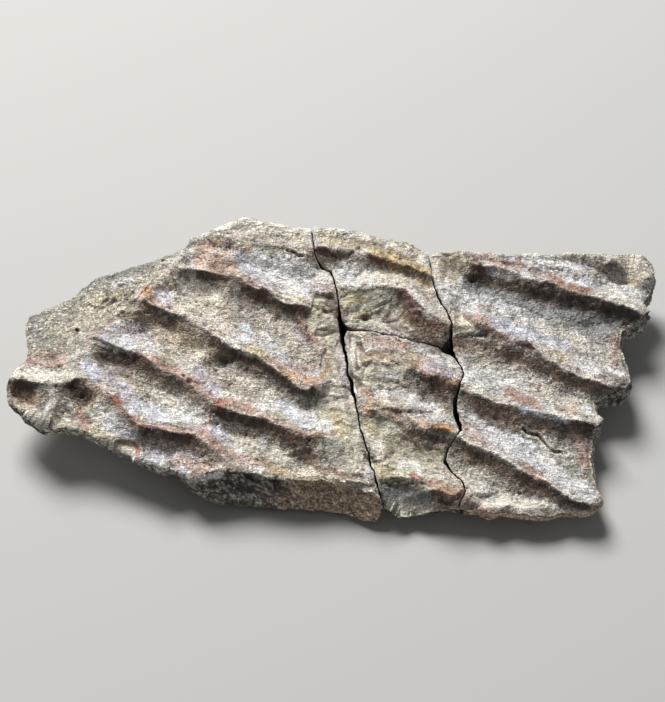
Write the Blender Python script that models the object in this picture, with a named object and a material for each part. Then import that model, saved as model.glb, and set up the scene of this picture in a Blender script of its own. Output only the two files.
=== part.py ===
"""Fossil amphibian scute: a thick plate of dermal bone, deeply grooved on its outer face.

The plate has broken right through along three cracks and lies fitted together again, so it is
four separate fragments. Lengths are millimetres until a mesh is made. X runs along the plate,
Y across it and Z up. The plate lies on its inner face, and the origin is the middle of the
rectangle it covers, on the surface it lies on.
"""
import math

import bpy
import numpy as np
from mathutils import Vector, noise
from mathutils.geometry import delaunay_2d_cdt

MM = 0.001

# Crest level: the height of the ridge crests, as a gently sloping plane.
CREST_HEIGHT = 10.0
CREST_RISE_PER_Y = 0.15
CREST_RISE_PER_X = -0.03

# Ornament: grooves between ridges, each ridge steep in front and gentle behind.
GROOVE_DEPTH = 2.4
RIDGE_FRONT = 2.7
RIDGE_BACK = 6.2
RIDGE_BLEND = 0.16
RIDGE_FRONT_CURVE = 2.0
RIDGE_BACK_CURVE = 0.85
ROUGHNESS = 0.22
ROUGHNESS_SIZE = 3.2

# Broken spongy bone at the back left, where the outer layer has come away: how far it lies below
# the crests, how it falls towards the rim, and how much deeper its step is at the tip.
FLANK_LEDGE = 0.2
FLANK_LEDGE_WIDTH = 1.2
FLANK_SLOPE = 0.34
TIP_LEDGE = 0.8
TIP_LEDGE_START = -37.0
TIP_LEDGE_LENGTH = 5.0

# Inner face: a flat patch that the plate rests on, rising towards the rim.
REST_CENTRE = (1.0, -3.0)
REST_RADII = (24.0, 13.0)
REST_RISE = 2.6
REST_CURVE = 1.3
TIP_START = -22.0
TIP_RISE = 7.6
TIP_LENGTH = 27.0
TIP_CURVE = 1.4
UNDERCUT_WIDTH = 3.0
LEAST_DEPTH = 5.5
LEAST_THICKNESS = 0.8
EDGE_ROUNDING = 0.45
EDGE_ROUNDING_WIDTH = 0.9
WALL_MIDDLE = 0.6

# Mesh spacing.
OUTLINE_STEP = 1.2
CREST_STEP = 1.4
CREST_MARGIN = 0.55
GRID_ALONG = 1.4
GRID_ACROSS = 0.8
GRID_ANGLE = math.radians(-22.0)
UNDERSIDE_STEP = 3.2
SHARP_ANGLE = math.radians(40.0)

# Bone: the mean colour of each fragment.
BONE_ROUGHNESS = 0.5
BONE_COLOURS = {
    "left_fragment": (0.50, 0.44, 0.37),
    "upper_middle_fragment": (0.52, 0.46, 0.38),
    "lower_middle_fragment": (0.47, 0.42, 0.34),
    "right_fragment": (0.52, 0.48, 0.43),
}

# Outer edges, anticlockwise: x, y and how far the rim's underside lies below the crest level.
# A fourth value is how far the foot of the broken front face stands out past its top.
LEFT_EDGE = [
    (-4.6, 23.3, 6.6), (-7.0, 23.5, 6.6), (-9.4, 24.3, 6.6), (-12.4, 24.9, 6.6), (-14.6, 25.4, 6.4),
    (-16.2, 24.7, 6.2), (-18.4, 23.6, 6.2), (-20.8, 22.3, 6.2), (-23.0, 21.4, 6.2), (-23.8, 19.9, 6.2),
    (-25.4, 19.0, 6.5), (-27.8, 18.2, 6.8), (-30.8, 17.6, 7.2), (-34.4, 16.7, 7.4), (-37.4, 15.9, 7.6),
    (-40.0, 14.4, 7.6), (-42.6, 12.8, 7.2), (-45.4, 11.2, 6.8), (-47.2, 9.8, 6.4), (-47.6, 8.0, 6.0),
    (-47.0, 5.2, 5.4), (-46.3, 1.6, 4.4), (-46.6, 0.0, 3.8), (-47.8, -2.2, 3.4), (-48.8, -4.6, 3.2),
    (-48.6, -6.4, 3.0), (-47.4, -7.6, 2.8), (-46.2, -8.7, 2.6), (-44.4, -10.4, 2.5), (-42.7, -11.4, 2.5),
    (-40.0, -11.0, 2.5), (-37.2, -11.6, 2.5), (-35.6, -12.4, 2.5), (-33.2, -13.7, 2.6), (-30.5, -15.1, 2.7),
    (-27.8, -16.2, 2.8), (-25.2, -17.3, 3.0), (-23.9, -16.9, 3.2), (-22.4, -18.0, 3.3),
    (-21.3, -19.2, 3.4, 0.1),
    (-19.4, -18.9, 4.6, 0.8), (-17.4, -18.5, 5.8, 1.3), (-15.6, -17.8, 6.5, 1.8), (-12.6, -18.0, 6.4, 1.8),
    (-9.6, -18.8, 6.2, 1.3), (-6.0, -19.0, 6.1, 1.2), (-2.6, -18.8, 6.0, 1.6), (0.6, -19.2, 5.6, 1.8),
    (3.0, -19.8, 5.2, 2.2), (5.0, -20.6, 4.9, 2.1),
]
BACK_EDGE = [
    (12.9, 19.9, 6.6), (11.0, 21.2, 6.6), (9.2, 21.6, 6.6), (6.2, 22.3, 6.6), (4.4, 22.6, 6.6),
    (3.2, 23.2, 6.6), (0.0, 23.6, 6.6), (-3.8, 23.9, 6.6),
]
FRONT_EDGE = [
    (7.0, -22.0, 3.6), (8.4, -22.6, 3.2), (10.5, -22.2, 3.0), (13.0, -22.3, 2.8), (15.2, -22.0, 2.7),
    (16.3, -22.3, 2.7),
]
RIGHT_EDGE = [
    (17.5, -22.5, 2.9), (19.6, -22.5, 2.9), (21.2, -23.4, 2.8), (22.8, -22.7, 2.8), (25.5, -23.0, 2.8),
    (28.5, -23.3, 2.8), (30.3, -23.1, 2.8), (31.0, -22.5, 3.0), (34.4, -22.7, 2.9), (36.2, -22.3, 2.8),
    (37.2, -21.4, 2.8), (37.2, -20.2, 3.0), (36.5, -17.6, 3.6), (36.5, -14.0, 4.3), (36.8, -10.8, 4.3),
    (36.9, -9.7, 4.4), (37.8, -9.5, 4.4), (38.5, -8.4, 4.4), (37.7, -7.2, 4.4), (37.6, -4.6, 4.5),
    (39.6, -3.8, 4.5), (41.8, -3.6, 4.6), (43.1, -2.2, 4.8), (43.3, 1.2, 5.0), (42.4, 4.8, 5.2),
    (43.0, 7.8, 5.2), (45.4, 8.8, 5.4), (47.1, 9.9, 5.6), (46.4, 12.2, 5.8), (48.0, 14.8, 6.0),
    (48.7, 17.6, 6.2), (48.6, 19.2, 6.3), (46.6, 20.4, 6.4), (42.0, 20.5, 6.5), (37.0, 20.2, 6.6),
    (31.0, 19.7, 6.6), (27.0, 19.8, 6.6), (22.0, 20.1, 6.6), (18.6, 20.2, 6.6), (17.0, 19.6, 6.6),
    (15.6, 20.2, 6.6), (14.5, 19.9, 6.6),
]

# Cracks, each from the back to the front or from left to right: x, y and width.
MAIN_CRACK_UPPER = [
    (-4.2, 23.5, 0.45), (-4.05, 20.6, 0.4), (-3.7, 18.8, 0.4), (-2.7, 17.7, 0.45), (-1.3, 16.8, 0.5),
    (-0.9, 15.2, 0.4), (-0.5, 13.0, 0.4), (-0.1, 10.4, 0.45), (0.0, 9.2, 0.65), (0.1, 7.8, 0.8),
]
MAIN_CRACK_LOWER = [
    (0.4, 5.6, 0.75), (0.7, 3.6, 0.6), (0.95, 1.4, 0.5), (1.25, -0.8, 0.5), (1.8, -2.8, 0.85),
    (2.05, -4.4, 0.65), (2.4, -7.0, 0.45), (2.9, -9.6, 0.4), (3.4, -11.9, 0.4), (4.1, -14.2, 0.4),
    (4.7, -16.6, 0.4), (5.2, -19.0, 0.4), (6.0, -21.2, 0.6),
]
CROSS_CRACK = [
    (1.1, 7.0, 0.6), (2.9, 6.8, 0.5), (5.5, 6.5, 0.45), (9.0, 5.8, 0.4), (12.4, 4.9, 0.4), (15.2, 4.3, 0.4),
]
RIGHT_CRACK_UPPER = [
    (13.9, 19.3, 0.6), (14.15, 16.4, 0.4), (14.5, 13.4, 0.4), (15.5, 10.6, 0.4), (16.6, 8.2, 0.4),
    (16.9, 6.9, 0.4), (16.7, 5.5, 0.8),
]
RIGHT_CRACK_LOWER = [
    (16.7, 3.8, 0.95), (17.2, 2.5, 0.5), (17.9, 1.3, 0.4), (18.4, -0.4, 0.4), (18.1, -2.2, 0.4),
    (17.4, -3.8, 0.5), (17.0, -5.0, 0.8), (17.1, -6.8, 0.9), (17.5, -8.8, 0.9), (17.5, -10.6, 0.6),
    (16.8, -12.0, 0.4), (15.6, -13.1, 0.4), (15.1, -14.5, 0.5), (16.2, -16.4, 0.5), (17.5, -18.2, 0.4),
    (17.9, -20.0, 0.4), (17.2, -21.4, 0.4), (16.9, -22.4, 0.5),
]

# Ridge crests from left to right: x, y and height as a share of the groove depth.
RIDGES = {
    "tip_rim": [(-50, -3, 1), (-45.5, -4.2, 1), (-41.4, -4.4, 1), (-37.3, -3.4, 1), (-33, -2.2, 0.5)],
    "front_left": [(-38.5, -1.5, 0.9), (-36.3, -3.5, 1), (-34, -5.6, 1), (-31.3, -8.8, 1.05),
                   (-28, -11, 1.05), (-25, -11.6, 1), (-21, -12.2, 1), (-18.6, -13.6, 0.95),
                   (-16.6, -15.6, 0.9), (-14, -17.8, 0.9)],
    "middle_left": [(-38, 3.6, 1), (-34.5, 2.5, 1), (-30, 0.9, 1), (-27, -1, 1), (-23.6, -3, 1),
                    (-20.2, -5.2, 1), (-17.6, -7.8, 1.05), (-14.8, -8.8, 1), (-11.5, -9.6, 1),
                    (-8.2, -10.5, 1), (-5.4, -11.8, 1), (-1.4, -12.2, 0.9), (3, -12.6, 0.7)],
    "back_left": [(-32, 11.6, 1), (-28, 9.2, 1), (-22, 6.2, 1), (-17.5, 3, 1), (-13.5, 1.4, 1.05),
                  (-10, -1.2, 1.05), (-7.5, -3.4, 1), (-4.6, -4.6, 0.9), (-2.8, -3.4, 0.6)],
    "rear_left": [(-25, 16, 1), (-21, 15.1, 1), (-17, 14.6, 1), (-14, 13.2, 1), (-11, 11.6, 1),
                  (-7.5, 9.8, 1), (-4.2, 9.4, 0.9), (-1.4, 8.2, 0.7)],
    "rear_rim": [(-23, 21, 0.9), (-16, 20.8, 0.95), (-8, 19.4, 0.95), (-3, 19.9, 1), (1.5, 19.6, 1),
                 (6, 18.4, 1), (9, 17.2, 1), (13.5, 15.6, 0.95), (16, 14.8, 0.7)],
    "rear_middle": [(-0.6, 13.4, 0.6), (3, 13.2, 0.7), (8.4, 13.4, 0.9), (10.4, 12.2, 1),
                    (12, 9.8, 1.05), (14.4, 7.8, 1.05), (16.6, 6.6, 1), (19.4, 7.2, 0.95),
                    (22.6, 6.4, 1), (26, 4.5, 1), (29, 2.8, 1), (31.6, 0.7, 1), (35, -1.3, 1.05),
                    (39, -3, 1.05), (44, -3.8, 1)],
    "cross": [(2.6, 0.4, 0.8), (5, 0.6, 0.9), (8.6, 0, 0.9), (11.6, -1.3, 0.95), (14.6, -2.2, 1.05),
              (17.6, -4, 1), (20.6, -5.2, 1), (23, -6.4, 1), (27, -7.3, 1), (31, -8.3, 1),
              (35, -9.2, 1.05), (40, -9.4, 1)],
    "front_middle": [(3.4, -6.4, 0.75), (6.4, -7.2, 0.8), (9.4, -8, 0.8), (11.8, -10.2, 0.95),
                     (14.4, -11, 1.05), (17, -12.2, 1), (20.4, -13.7, 1), (23.6, -15.6, 1.05),
                     (27, -17.5, 1), (30, -19.5, 1), (33.4, -21.4, 1.05), (38, -22.6, 1)],
    "rear_right": [(19.4, 17.9, 0.9), (24, 16.8, 1), (28, 15.5, 1), (32, 14.2, 1), (37, 12.6, 1),
                   (41, 11, 1), (45, 9.6, 1.05), (48, 8.8, 1)],
    "front_lobe": [(6, -17.8, 0.75), (10, -18.8, 0.85), (13.4, -20.4, 1), (15.8, -21.4, 1),
                   (18.2, -20.8, 0.8)],
}

# Rounded rises: the rims along the edges, and the low saddles that part the grooves into pits.
# Each has its half width, then x, y and height as a share of the groove depth.
RISES = {
    "rear_rim": (6.0, [(-24, 22.5, 1), (-15, 24.6, 1), (-7, 23, 1), (0, 23, 1), (6, 21.6, 1),
                       (13, 19.4, 0.95)]),
    "front_rim": (2.8, [(-20, -18, 0.8), (-16, -17.6, 0.9), (-12, -18, 0.95), (-8, -18.9, 0.95),
                        (-3, -18.9, 0.9), (1, -19.2, 0.85), (5, -20.4, 0.75)]),
    "right_rim": (3.2, [(14, 19.4, 1), (26, 19, 1), (38, 19.3, 1), (46.4, 19.4, 1), (47.6, 17, 0.85)]),
    "right_ledge": (3.4, [(17, -22.4, 0.5), (22, -22.8, 0.6), (31, -22.8, 0.5)]),
    "ornament_margin": (4.4, [(-38, 0.6, 0.85), (-36, 3, 0.9), (-33.6, 5.4, 0.9), (-31.4, 7.6, 0.9),
                              (-30, 10, 0.95), (-28.8, 12.6, 0.95), (-26, 15, 1), (-24, 18, 1)]),
    "right_slope": (4.4, [(20, 18.6, 0.95), (28, 17.9, 0.95), (35, 17, 0.9), (38.4, 16, 0.8)]),
    "rear_bulge": (4.2, [(-22, 18.4, 0.95), (-19, 17.8, 1), (-17, 17.8, 0.9)]),
    "rear_fill": (3.4, [(-17, 20.6, 0.95), (-13, 19.4, 0.9), (-9.4, 18.6, 0.85), (-7, 18, 0.8)]),
    "tip_plain": (3.6, [(-47.4, -1.6, 0.8), (-42, -1.4, 0.75), (-37.4, 0.4, 0.85)]),
    "tip_end": (2.4, [(-48, -4, 0.95), (-48.2, -6, 0.5), (-45.6, -9, 0.3), (-42.6, -11, 0.8),
                      (-38, -11.4, 0.75), (-34, -13, 0.6), (-30, -15, 0.6), (-25, -17, 0.7)]),
    "tip_saddle": (2.2, [(-42.3, -4.6, 0.9), (-41.8, -7, 0.8), (-42.2, -9.6, 0.85)]),
    "tip_floor": (3.0, [(-34, -9, 0.5), (-33, -12.6, 0.6)]),
    "front_saddle": (2.4, [(-18, -8, 0.8), (-19.2, -10.5, 0.7), (-18.6, -13.4, 0.85)]),
    "back_saddle": (2.4, [(-17, 3.4, 0.7), (-21, 0.5, 0.45), (-22.5, -3, 0.8)]),
    "main_crack": (3.0, [(-4.4, 9.4, 0.8), (-3.2, 5, 0.5), (-0.8, 0, 0.65), (0.4, -5, 0.7), (1, -9, 0.75),
                         (1.6, -13, 0.75), (2.2, -17, 0.6)]),
    "lower_middle": (3.0, [(5, 0.5, 0.9), (4.2, -3, 0.55), (4, -6.4, 0.75), (5, -11, 0.6), (6, -14.5, 0.7),
                           (7.5, -18, 0.7)]),
    "right_crack": (3.0, [(14.8, 18, 0.95), (15.6, 14, 0.85), (16.4, 10, 0.9), (17.6, 7, 0.95)]),
}

# Pits and hollows: centre x and y, radii along and across, turn in degrees and depth.
HOLLOWS = [
    (-46.0, -5.6, 2.7, 2.1, 15, 0.8), (-37.5, -6.5, 2.4, 2.0, -35, 1.2), (44.0, 16.9, 4.0, 1.5, -4, 1.5),
    (22.6, 15.0, 3.4, 1.5, -15, 0.7), (5.2, 9.4, 5.0, 3.2, 0, 0.6), (16.2, 4.0, 1.6, 2.2, 0, 1.2),
    (-5.2, -15.2, 2.8, 1.8, -10, 0.8), (-17.6, 0.9, 2.2, 1.4, -30, 0.8), (-4.8, -6.2, 2.6, 1.3, -5, 0.7),
    (9.6, -22.0, 3.6, 1.8, 0, 0.9), (3.0, -22.0, 3.4, 2.0, -20, 1.2), (-39.2, 5.6, 0.9, 0.9, 0, 0.7),
    (39.0, 8.6, 5.2, 1.8, -8, 0.7), (-29.2, 6.6, 3.4, 1.5, -25, 0.4), (-33.2, -0.6, 3.4, 1.5, -22, 0.6),
    (-15.4, -10.9, 3.4, 1.4, -12, 0.8), (-26.0, -13.8, 3.6, 1.5, -12, 0.8),
    (-21.0, 12.8, 3.2, 1.4, -8, 0.7),
]

# Where the outer layer of bone ends against the broken spongy bone, from left to right.
ORNAMENT_EDGE = [
    (-50, -0.6), (-46.3, 0.2), (-42, 0.2), (-38, 0.6), (-36.4, 2.8), (-34, 5.2), (-31.5, 7.5), (-30.3, 9.2),
    (-30, 11.4), (-28, 13.2), (-26, 15.2), (-24.5, 17.2), (-22.6, 20.2), (-21, 23), (-20, 27),
]


def smooth_step(value):
    """Ease from 0 to 1."""
    value = np.clip(value, 0.0, 1.0)
    return value * value * (3.0 - 2.0 * value)


def smooth_max(first, second, blend):
    """The larger of two fields, rounded where they cross."""
    overlap = np.maximum(blend - np.abs(first - second), 0.0) / blend
    return np.maximum(first, second) + overlap * overlap * blend * 0.25


def nearest_on_line(x, y, line):
    """Distance to an open line, signed positive on its left, and its third value there."""
    line = np.asarray(line, float)
    best = np.full(x.shape, np.inf)
    signed = np.zeros(x.shape)
    value = np.zeros(x.shape)
    for start, end in zip(line[:-1], line[1:]):
        run = end - start
        length_squared = run[0] ** 2 + run[1] ** 2
        share = ((x - start[0]) * run[0] + (y - start[1]) * run[1]) / length_squared
        share = np.clip(share, 0.0, 1.0)
        off_x = x - start[0] - share * run[0]
        off_y = y - start[1] - share * run[1]
        distance = np.hypot(off_x, off_y)
        closer = distance < best
        best = np.where(closer, distance, best)
        side = np.where(run[0] * off_y - run[1] * off_x >= 0.0, 1.0, -1.0)
        signed = np.where(closer, side * distance, signed)
        if len(start) > 2:
            value = np.where(closer, start[2] + share * run[2], value)
    return signed, value


def ridge_field(x, y):
    """Height of the ornament, 0 on a groove's floor and 1 on a crest."""
    field = np.zeros(x.shape)
    for crest in RIDGES.values():
        signed, height = nearest_on_line(x, y, crest)
        front = (1.0 - np.clip(-signed / RIDGE_FRONT, 0.0, 1.0)) ** RIDGE_FRONT_CURVE
        back = 1.0 - smooth_step(signed / RIDGE_BACK) ** RIDGE_BACK_CURVE
        field = smooth_max(field, height * np.where(signed < 0.0, front, back), RIDGE_BLEND)
    for width, line in RISES.values():
        signed, height = nearest_on_line(x, y, line)
        field = smooth_max(field, height * (1.0 - smooth_step(np.abs(signed) / width)), RIDGE_BLEND)
    return field


def hollow_depth(x, y):
    """Depth of the pits and hollows below the ornament."""
    depth = np.zeros(x.shape)
    for centre_x, centre_y, along, across, turn, deep in HOLLOWS:
        cosine = math.cos(math.radians(turn))
        sine = math.sin(math.radians(turn))
        u = ((x - centre_x) * cosine + (y - centre_y) * sine) / along
        v = ((y - centre_y) * cosine - (x - centre_x) * sine) / across
        depth = depth + deep * (1.0 - smooth_step(np.sqrt(u * u + v * v)))
    return depth


def grain(x, y, size, seed):
    """Even noise between about -1 and 1 with the given grain size."""
    flat = zip(x.ravel(), y.ravel())
    values = [noise.noise(Vector((px / size, py / size, seed))) for px, py in flat]
    return np.array(values).reshape(x.shape)


def crest_level(x, y):
    """Height of the plane that the ridge crests reach."""
    return CREST_HEIGHT + CREST_RISE_PER_Y * y + CREST_RISE_PER_X * x


def outer_face(x, y):
    """Height of the ornamented face, before its edges are rounded."""
    height = crest_level(x, y) - GROOVE_DEPTH * (1.0 - ridge_field(x, y)) - hollow_depth(x, y)
    beyond, _ = nearest_on_line(x, y, ORNAMENT_EDGE)
    beyond = np.maximum(beyond, 0.0)
    ledge = FLANK_LEDGE + TIP_LEDGE * smooth_step((TIP_LEDGE_START - x) / TIP_LEDGE_LENGTH)
    broken = crest_level(x, y) - ledge - FLANK_SLOPE * beyond
    height = height + (broken - height) * smooth_step(beyond / FLANK_LEDGE_WIDTH)
    return height + ROUGHNESS * grain(x, y, ROUGHNESS_SIZE, 4.0)


def inner_face(x, y, rim):
    """Height of the inner face, which rises to the underside of the rim."""
    out = np.hypot((x - REST_CENTRE[0]) / REST_RADII[0], (y - REST_CENTRE[1]) / REST_RADII[1])
    base = REST_RISE * np.maximum(out - 1.0, 0.0) ** REST_CURVE
    tip = np.maximum(TIP_START - x, 0.0) / TIP_LENGTH
    base = base + TIP_RISE * tip ** TIP_CURVE
    base = np.minimum(base, crest_level(x, y) - LEAST_DEPTH)
    distance, depth = nearest_on_line(x, y, rim)
    lip = np.maximum(crest_level(x, y) - depth, base)
    blend = smooth_step(np.abs(distance) / UNDERCUT_WIDTH)
    base = np.where(out < 1.0, base, lip + (base - lip) * blend)
    return np.minimum(base, outer_face(x, y) - EDGE_ROUNDING - LEAST_THICKNESS)


def resample(line, step):
    """Points at even steps along an open line, its corners kept."""
    points = []
    for start, end in zip(line[:-1], line[1:]):
        count = max(1, round(math.dist(start[:2], end[:2]) / step))
        for index in range(count):
            share = index / count
            points.append([a + (b - a) * share for a, b in zip(start, end)])
    points.append(list(line[-1]))
    return np.array(points)


def crack_side(crack, side):
    """One wall of a crack: side 1 is the wall on its left, -1 the wall on its right."""
    line = np.array(crack, float)
    heading = np.gradient(line[:, :2], axis=0)
    heading /= np.linalg.norm(heading, axis=1)[:, None]
    across = np.column_stack((-heading[:, 1], heading[:, 0]))
    return line[:, :2] + side * across * line[:, 2:3] * 0.5


def closed_outline(*parts):
    """One closed outline from open lines that follow each other: x, y and the foot's reach."""
    points = []
    for part in parts:
        for point in part:
            reach = point[3] if len(point) > 3 else 0.0
            points.append((point[0], point[1], reach))
    points.append(points[0])
    return resample(points, OUTLINE_STEP)[:-1]


def inside(points, outline, margin):
    """Which points lie inside the outline, at least the margin away from it."""
    x = points[:, 0]
    y = points[:, 1]
    ring = np.vstack((outline, outline[:1]))
    crossings = np.zeros(len(points), bool)
    for (x0, y0), (x1, y1) in zip(ring[:-1], ring[1:]):
        if y0 == y1:
            continue
        spans = (y0 > y) != (y1 > y)
        crossings ^= spans & (x < (x1 - x0) * (y - y0) / (y1 - y0) + x0)
    distance, _ = nearest_on_line(x, y, ring)
    return crossings & (np.abs(distance) > margin)


def slanted_grid(outline, along, across):
    """Staggered points over an outline, in rows that follow the ridges."""
    cosine = math.cos(GRID_ANGLE)
    sine = math.sin(GRID_ANGLE)
    u = outline[:, 0] * cosine + outline[:, 1] * sine
    v = outline[:, 1] * cosine - outline[:, 0] * sine
    points = []
    for row in range(math.floor(v.min() / across), math.ceil(v.max() / across) + 1):
        for column in range(math.floor(u.min() / along), math.ceil(u.max() / along) + 1):
            pu = (column + 0.5 * (row % 2)) * along
            pv = row * across
            points.append((pu * cosine - pv * sine, pu * sine + pv * cosine))
    points = np.array(points)
    return points[inside(points, outline, 0.5 * across)]


def crest_lines(outline):
    """Points along the crests and the broken layer's edge in an outline, and the edges between."""
    points = []
    edges = []
    for crest in (*RIDGES.values(), RISES["right_rim"][1], ORNAMENT_EDGE):
        line = resample(crest, CREST_STEP)[:, :2]
        kept = inside(line, outline, CREST_MARGIN)
        for index, point in enumerate(line):
            if not kept[index]:
                continue
            if index and kept[index - 1]:
                edges.append((len(points) - 1, len(points)))
            points.append(point)
    return np.array(points), edges


def clear_of(points, others, margin):
    """Those points that no other point is nearer to than the margin."""
    kept = [np.min(np.hypot(others[:, 0] - x, others[:, 1] - y)) > margin for x, y in points]
    return points[kept]


def triangulate(outline, interior, edges):
    """Fill an outline over interior points: plan points with the outline's first, and triangles."""
    count = len(outline)
    points = [Vector(point) for point in np.vstack((outline, interior))]
    lines = [(first + count, second + count) for first, second in edges]
    filled = delaunay_2d_cdt(points, lines, [tuple(range(count))], 1, 1e-6)
    plan = np.array([tuple(point) for point in filled[0]])
    rank = {}
    for index, origins in enumerate(filled[3]):
        outline_origins = [origin for origin in origins if origin < count]
        if outline_origins:
            rank[outline_origins[0]] = index
    order = [rank[index] for index in range(count)]
    order += [index for index in range(len(plan)) if index not in set(order)]
    place = {index: position for position, index in enumerate(order)}
    faces = [[place[index] for index in face] for face in filled[2]]
    return plan[order], faces


def fragment(name, outline, rim, centre):
    """One closed fragment: ornamented face, inner face and the broken wall between them."""
    count = len(outline)
    head = outline[:, :2]
    foot = head - np.column_stack((np.zeros(count), outline[:, 2]))
    middle = head + WALL_MIDDLE * (foot - head)
    crest_points, crest_edges = crest_lines(head)
    grid = clear_of(slanted_grid(head, GRID_ALONG, GRID_ACROSS), crest_points, CREST_MARGIN)
    top_plan, top_faces = triangulate(head, np.vstack((crest_points, grid)), crest_edges)
    base_plan, base_faces = triangulate(foot, slanted_grid(foot, UNDERSIDE_STEP, UNDERSIDE_STEP), [])
    edge_distance, _ = nearest_on_line(top_plan[:, 0], top_plan[:, 1], np.vstack((head, head[:1])))
    top_height = outer_face(top_plan[:, 0], top_plan[:, 1])
    top_height -= EDGE_ROUNDING * (1.0 - smooth_step(np.abs(edge_distance) / EDGE_ROUNDING_WIDTH))
    base_height = inner_face(base_plan[:, 0], base_plan[:, 1], rim)
    middle_height = 0.5 * (top_height[:count] + base_height[:count])
    points = np.vstack((
        np.column_stack((top_plan, top_height)),
        np.column_stack((base_plan, base_height)),
        np.column_stack((middle, middle_height)),
    ))
    points -= (*centre, 0.0)
    base_start = len(top_plan)
    middle_start = base_start + len(base_plan)
    faces = list(top_faces)
    faces += [[index + base_start for index in reversed(face)] for face in base_faces]
    for start_row, end_row in ((0, middle_start), (middle_start, base_start)):
        for index in range(count):
            after = (index + 1) % count
            faces.append([index + start_row, index + end_row, after + end_row])
            faces.append([index + start_row, after + end_row, after + start_row])
    mesh = bpy.data.meshes.new(name)
    mesh.from_pydata([tuple(point) for point in points * MM], [], faces)
    mesh.validate()
    mesh.shade_smooth()
    mesh.set_sharp_from_angle(angle=SHARP_ANGLE)
    mesh.materials.append(bone(name))
    piece = bpy.data.objects.new(name, mesh)
    bpy.context.scene.collection.objects.link(piece)


def bone(name):
    """The plain bone material of one fragment."""
    made = bpy.data.materials.new(name + "_bone")
    made.use_nodes = True
    shader = made.node_tree.nodes["Principled BSDF"]
    shader.inputs["Base Color"].default_value = (*BONE_COLOURS[name], 1.0)
    shader.inputs["Roughness"].default_value = BONE_ROUGHNESS
    shader.inputs["Metallic"].default_value = 0.0
    return made


def build():
    """Make the four fragments."""
    for item in list(bpy.data.objects):
        bpy.data.objects.remove(item, do_unlink=True)
    whole_edge = LEFT_EDGE + FRONT_EDGE + RIGHT_EDGE + BACK_EDGE + LEFT_EDGE[:1]
    rim = [point[:3] for point in whole_edge]
    main_crack = MAIN_CRACK_UPPER + MAIN_CRACK_LOWER
    right_crack = RIGHT_CRACK_UPPER + RIGHT_CRACK_LOWER
    upper = len(MAIN_CRACK_UPPER)
    right_upper = len(RIGHT_CRACK_UPPER)
    main_left = crack_side(main_crack, -1)
    main_right = crack_side(main_crack, 1)
    right_left = crack_side(right_crack, -1)
    right_right = crack_side(right_crack, 1)
    cross_back = crack_side(CROSS_CRACK, 1)
    cross_front = crack_side(CROSS_CRACK, -1)
    outlines = {
        "left_fragment": closed_outline(LEFT_EDGE, main_left[::-1]),
        "upper_middle_fragment": closed_outline(BACK_EDGE, main_right[:upper], cross_back,
                                                right_left[:right_upper][::-1]),
        "lower_middle_fragment": closed_outline(cross_front[::-1], main_right[upper:], FRONT_EDGE,
                                                right_left[right_upper:][::-1]),
        "right_fragment": closed_outline(right_right, RIGHT_EDGE),
    }
    corners = np.vstack([outline[:, :2] for outline in outlines.values()])
    centre = 0.5 * (corners.min(axis=0) + corners.max(axis=0))
    for name, outline in outlines.items():
        fragment(name, outline, rim, centre)


build()
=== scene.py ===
"""The look of the fossil amphibian scute: each broken fragment gets a finely modelled surface.

Lengths are millimetres until a mesh is made. X runs along the plate, Y across it and Z up, as in
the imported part, whose outlines, ridges and hollows are repeated here and made finer.
"""

import math

import bpy
import numpy as np
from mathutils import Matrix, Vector
from mathutils.geometry import delaunay_2d_cdt
from mathutils.kdtree import KDTree


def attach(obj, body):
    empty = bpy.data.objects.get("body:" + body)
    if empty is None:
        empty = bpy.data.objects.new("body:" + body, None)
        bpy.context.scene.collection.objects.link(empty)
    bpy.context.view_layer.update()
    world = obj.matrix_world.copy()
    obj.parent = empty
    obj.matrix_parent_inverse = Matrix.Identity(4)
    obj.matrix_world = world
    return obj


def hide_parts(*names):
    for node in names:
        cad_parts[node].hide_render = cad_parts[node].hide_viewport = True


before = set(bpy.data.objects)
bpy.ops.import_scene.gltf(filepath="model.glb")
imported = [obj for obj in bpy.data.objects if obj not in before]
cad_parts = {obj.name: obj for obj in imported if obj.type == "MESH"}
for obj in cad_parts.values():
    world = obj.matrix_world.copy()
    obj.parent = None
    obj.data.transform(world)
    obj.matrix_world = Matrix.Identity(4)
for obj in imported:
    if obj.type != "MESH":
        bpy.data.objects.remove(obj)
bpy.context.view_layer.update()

# Metres in a millimetre.
MM = 0.001

# Crest level: the height of the ridge crests, as a gently sloping plane.
CREST_HEIGHT = 10.0
CREST_RISE_PER_Y = 0.15
CREST_RISE_PER_X = -0.03

# Ornament.
GROOVE_DEPTH = 2.4
RIDGE_FRONT = 2.7
RIDGE_BACK = 6.2
RIDGE_BLEND = 0.16
CREST_RADIUS = 0.22

# Broken spongy bone at the back left.
FLANK_LEDGE = 0.2
FLANK_LEDGE_WIDTH = 1.2
FLANK_SLOPE = 0.34
TIP_LEDGE = 0.8
TIP_LEDGE_START = -37.0
TIP_LEDGE_LENGTH = 5.0
# Right of here the broken bone is striped along the edge of the outer layer.
STRIPES_FROM = -27.5

# Inner face.
REST_CENTRE = (1.0, -3.0)
REST_RADII = (24.0, 13.0)
REST_RISE = 2.6
TIP_START = -22.0
TIP_RISE = 7.6
TIP_LENGTH = 27.0
UNDERCUT_WIDTH = 3.0
LEAST_DEPTH = 5.5
LEAST_THICKNESS = 0.8

# Rounding of the rim and of the cracks' brinks, and the shape of the cracks' walls.
EDGE_ROUNDING = 0.45
EDGE_ROUNDING_WIDTH = 0.9
CRACK_ROUNDING = 0.16
CRACK_ROUNDING_WIDTH = 0.35
CRACK_NARROWING = 0.14
CRACK_BEND = 0.6

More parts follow.
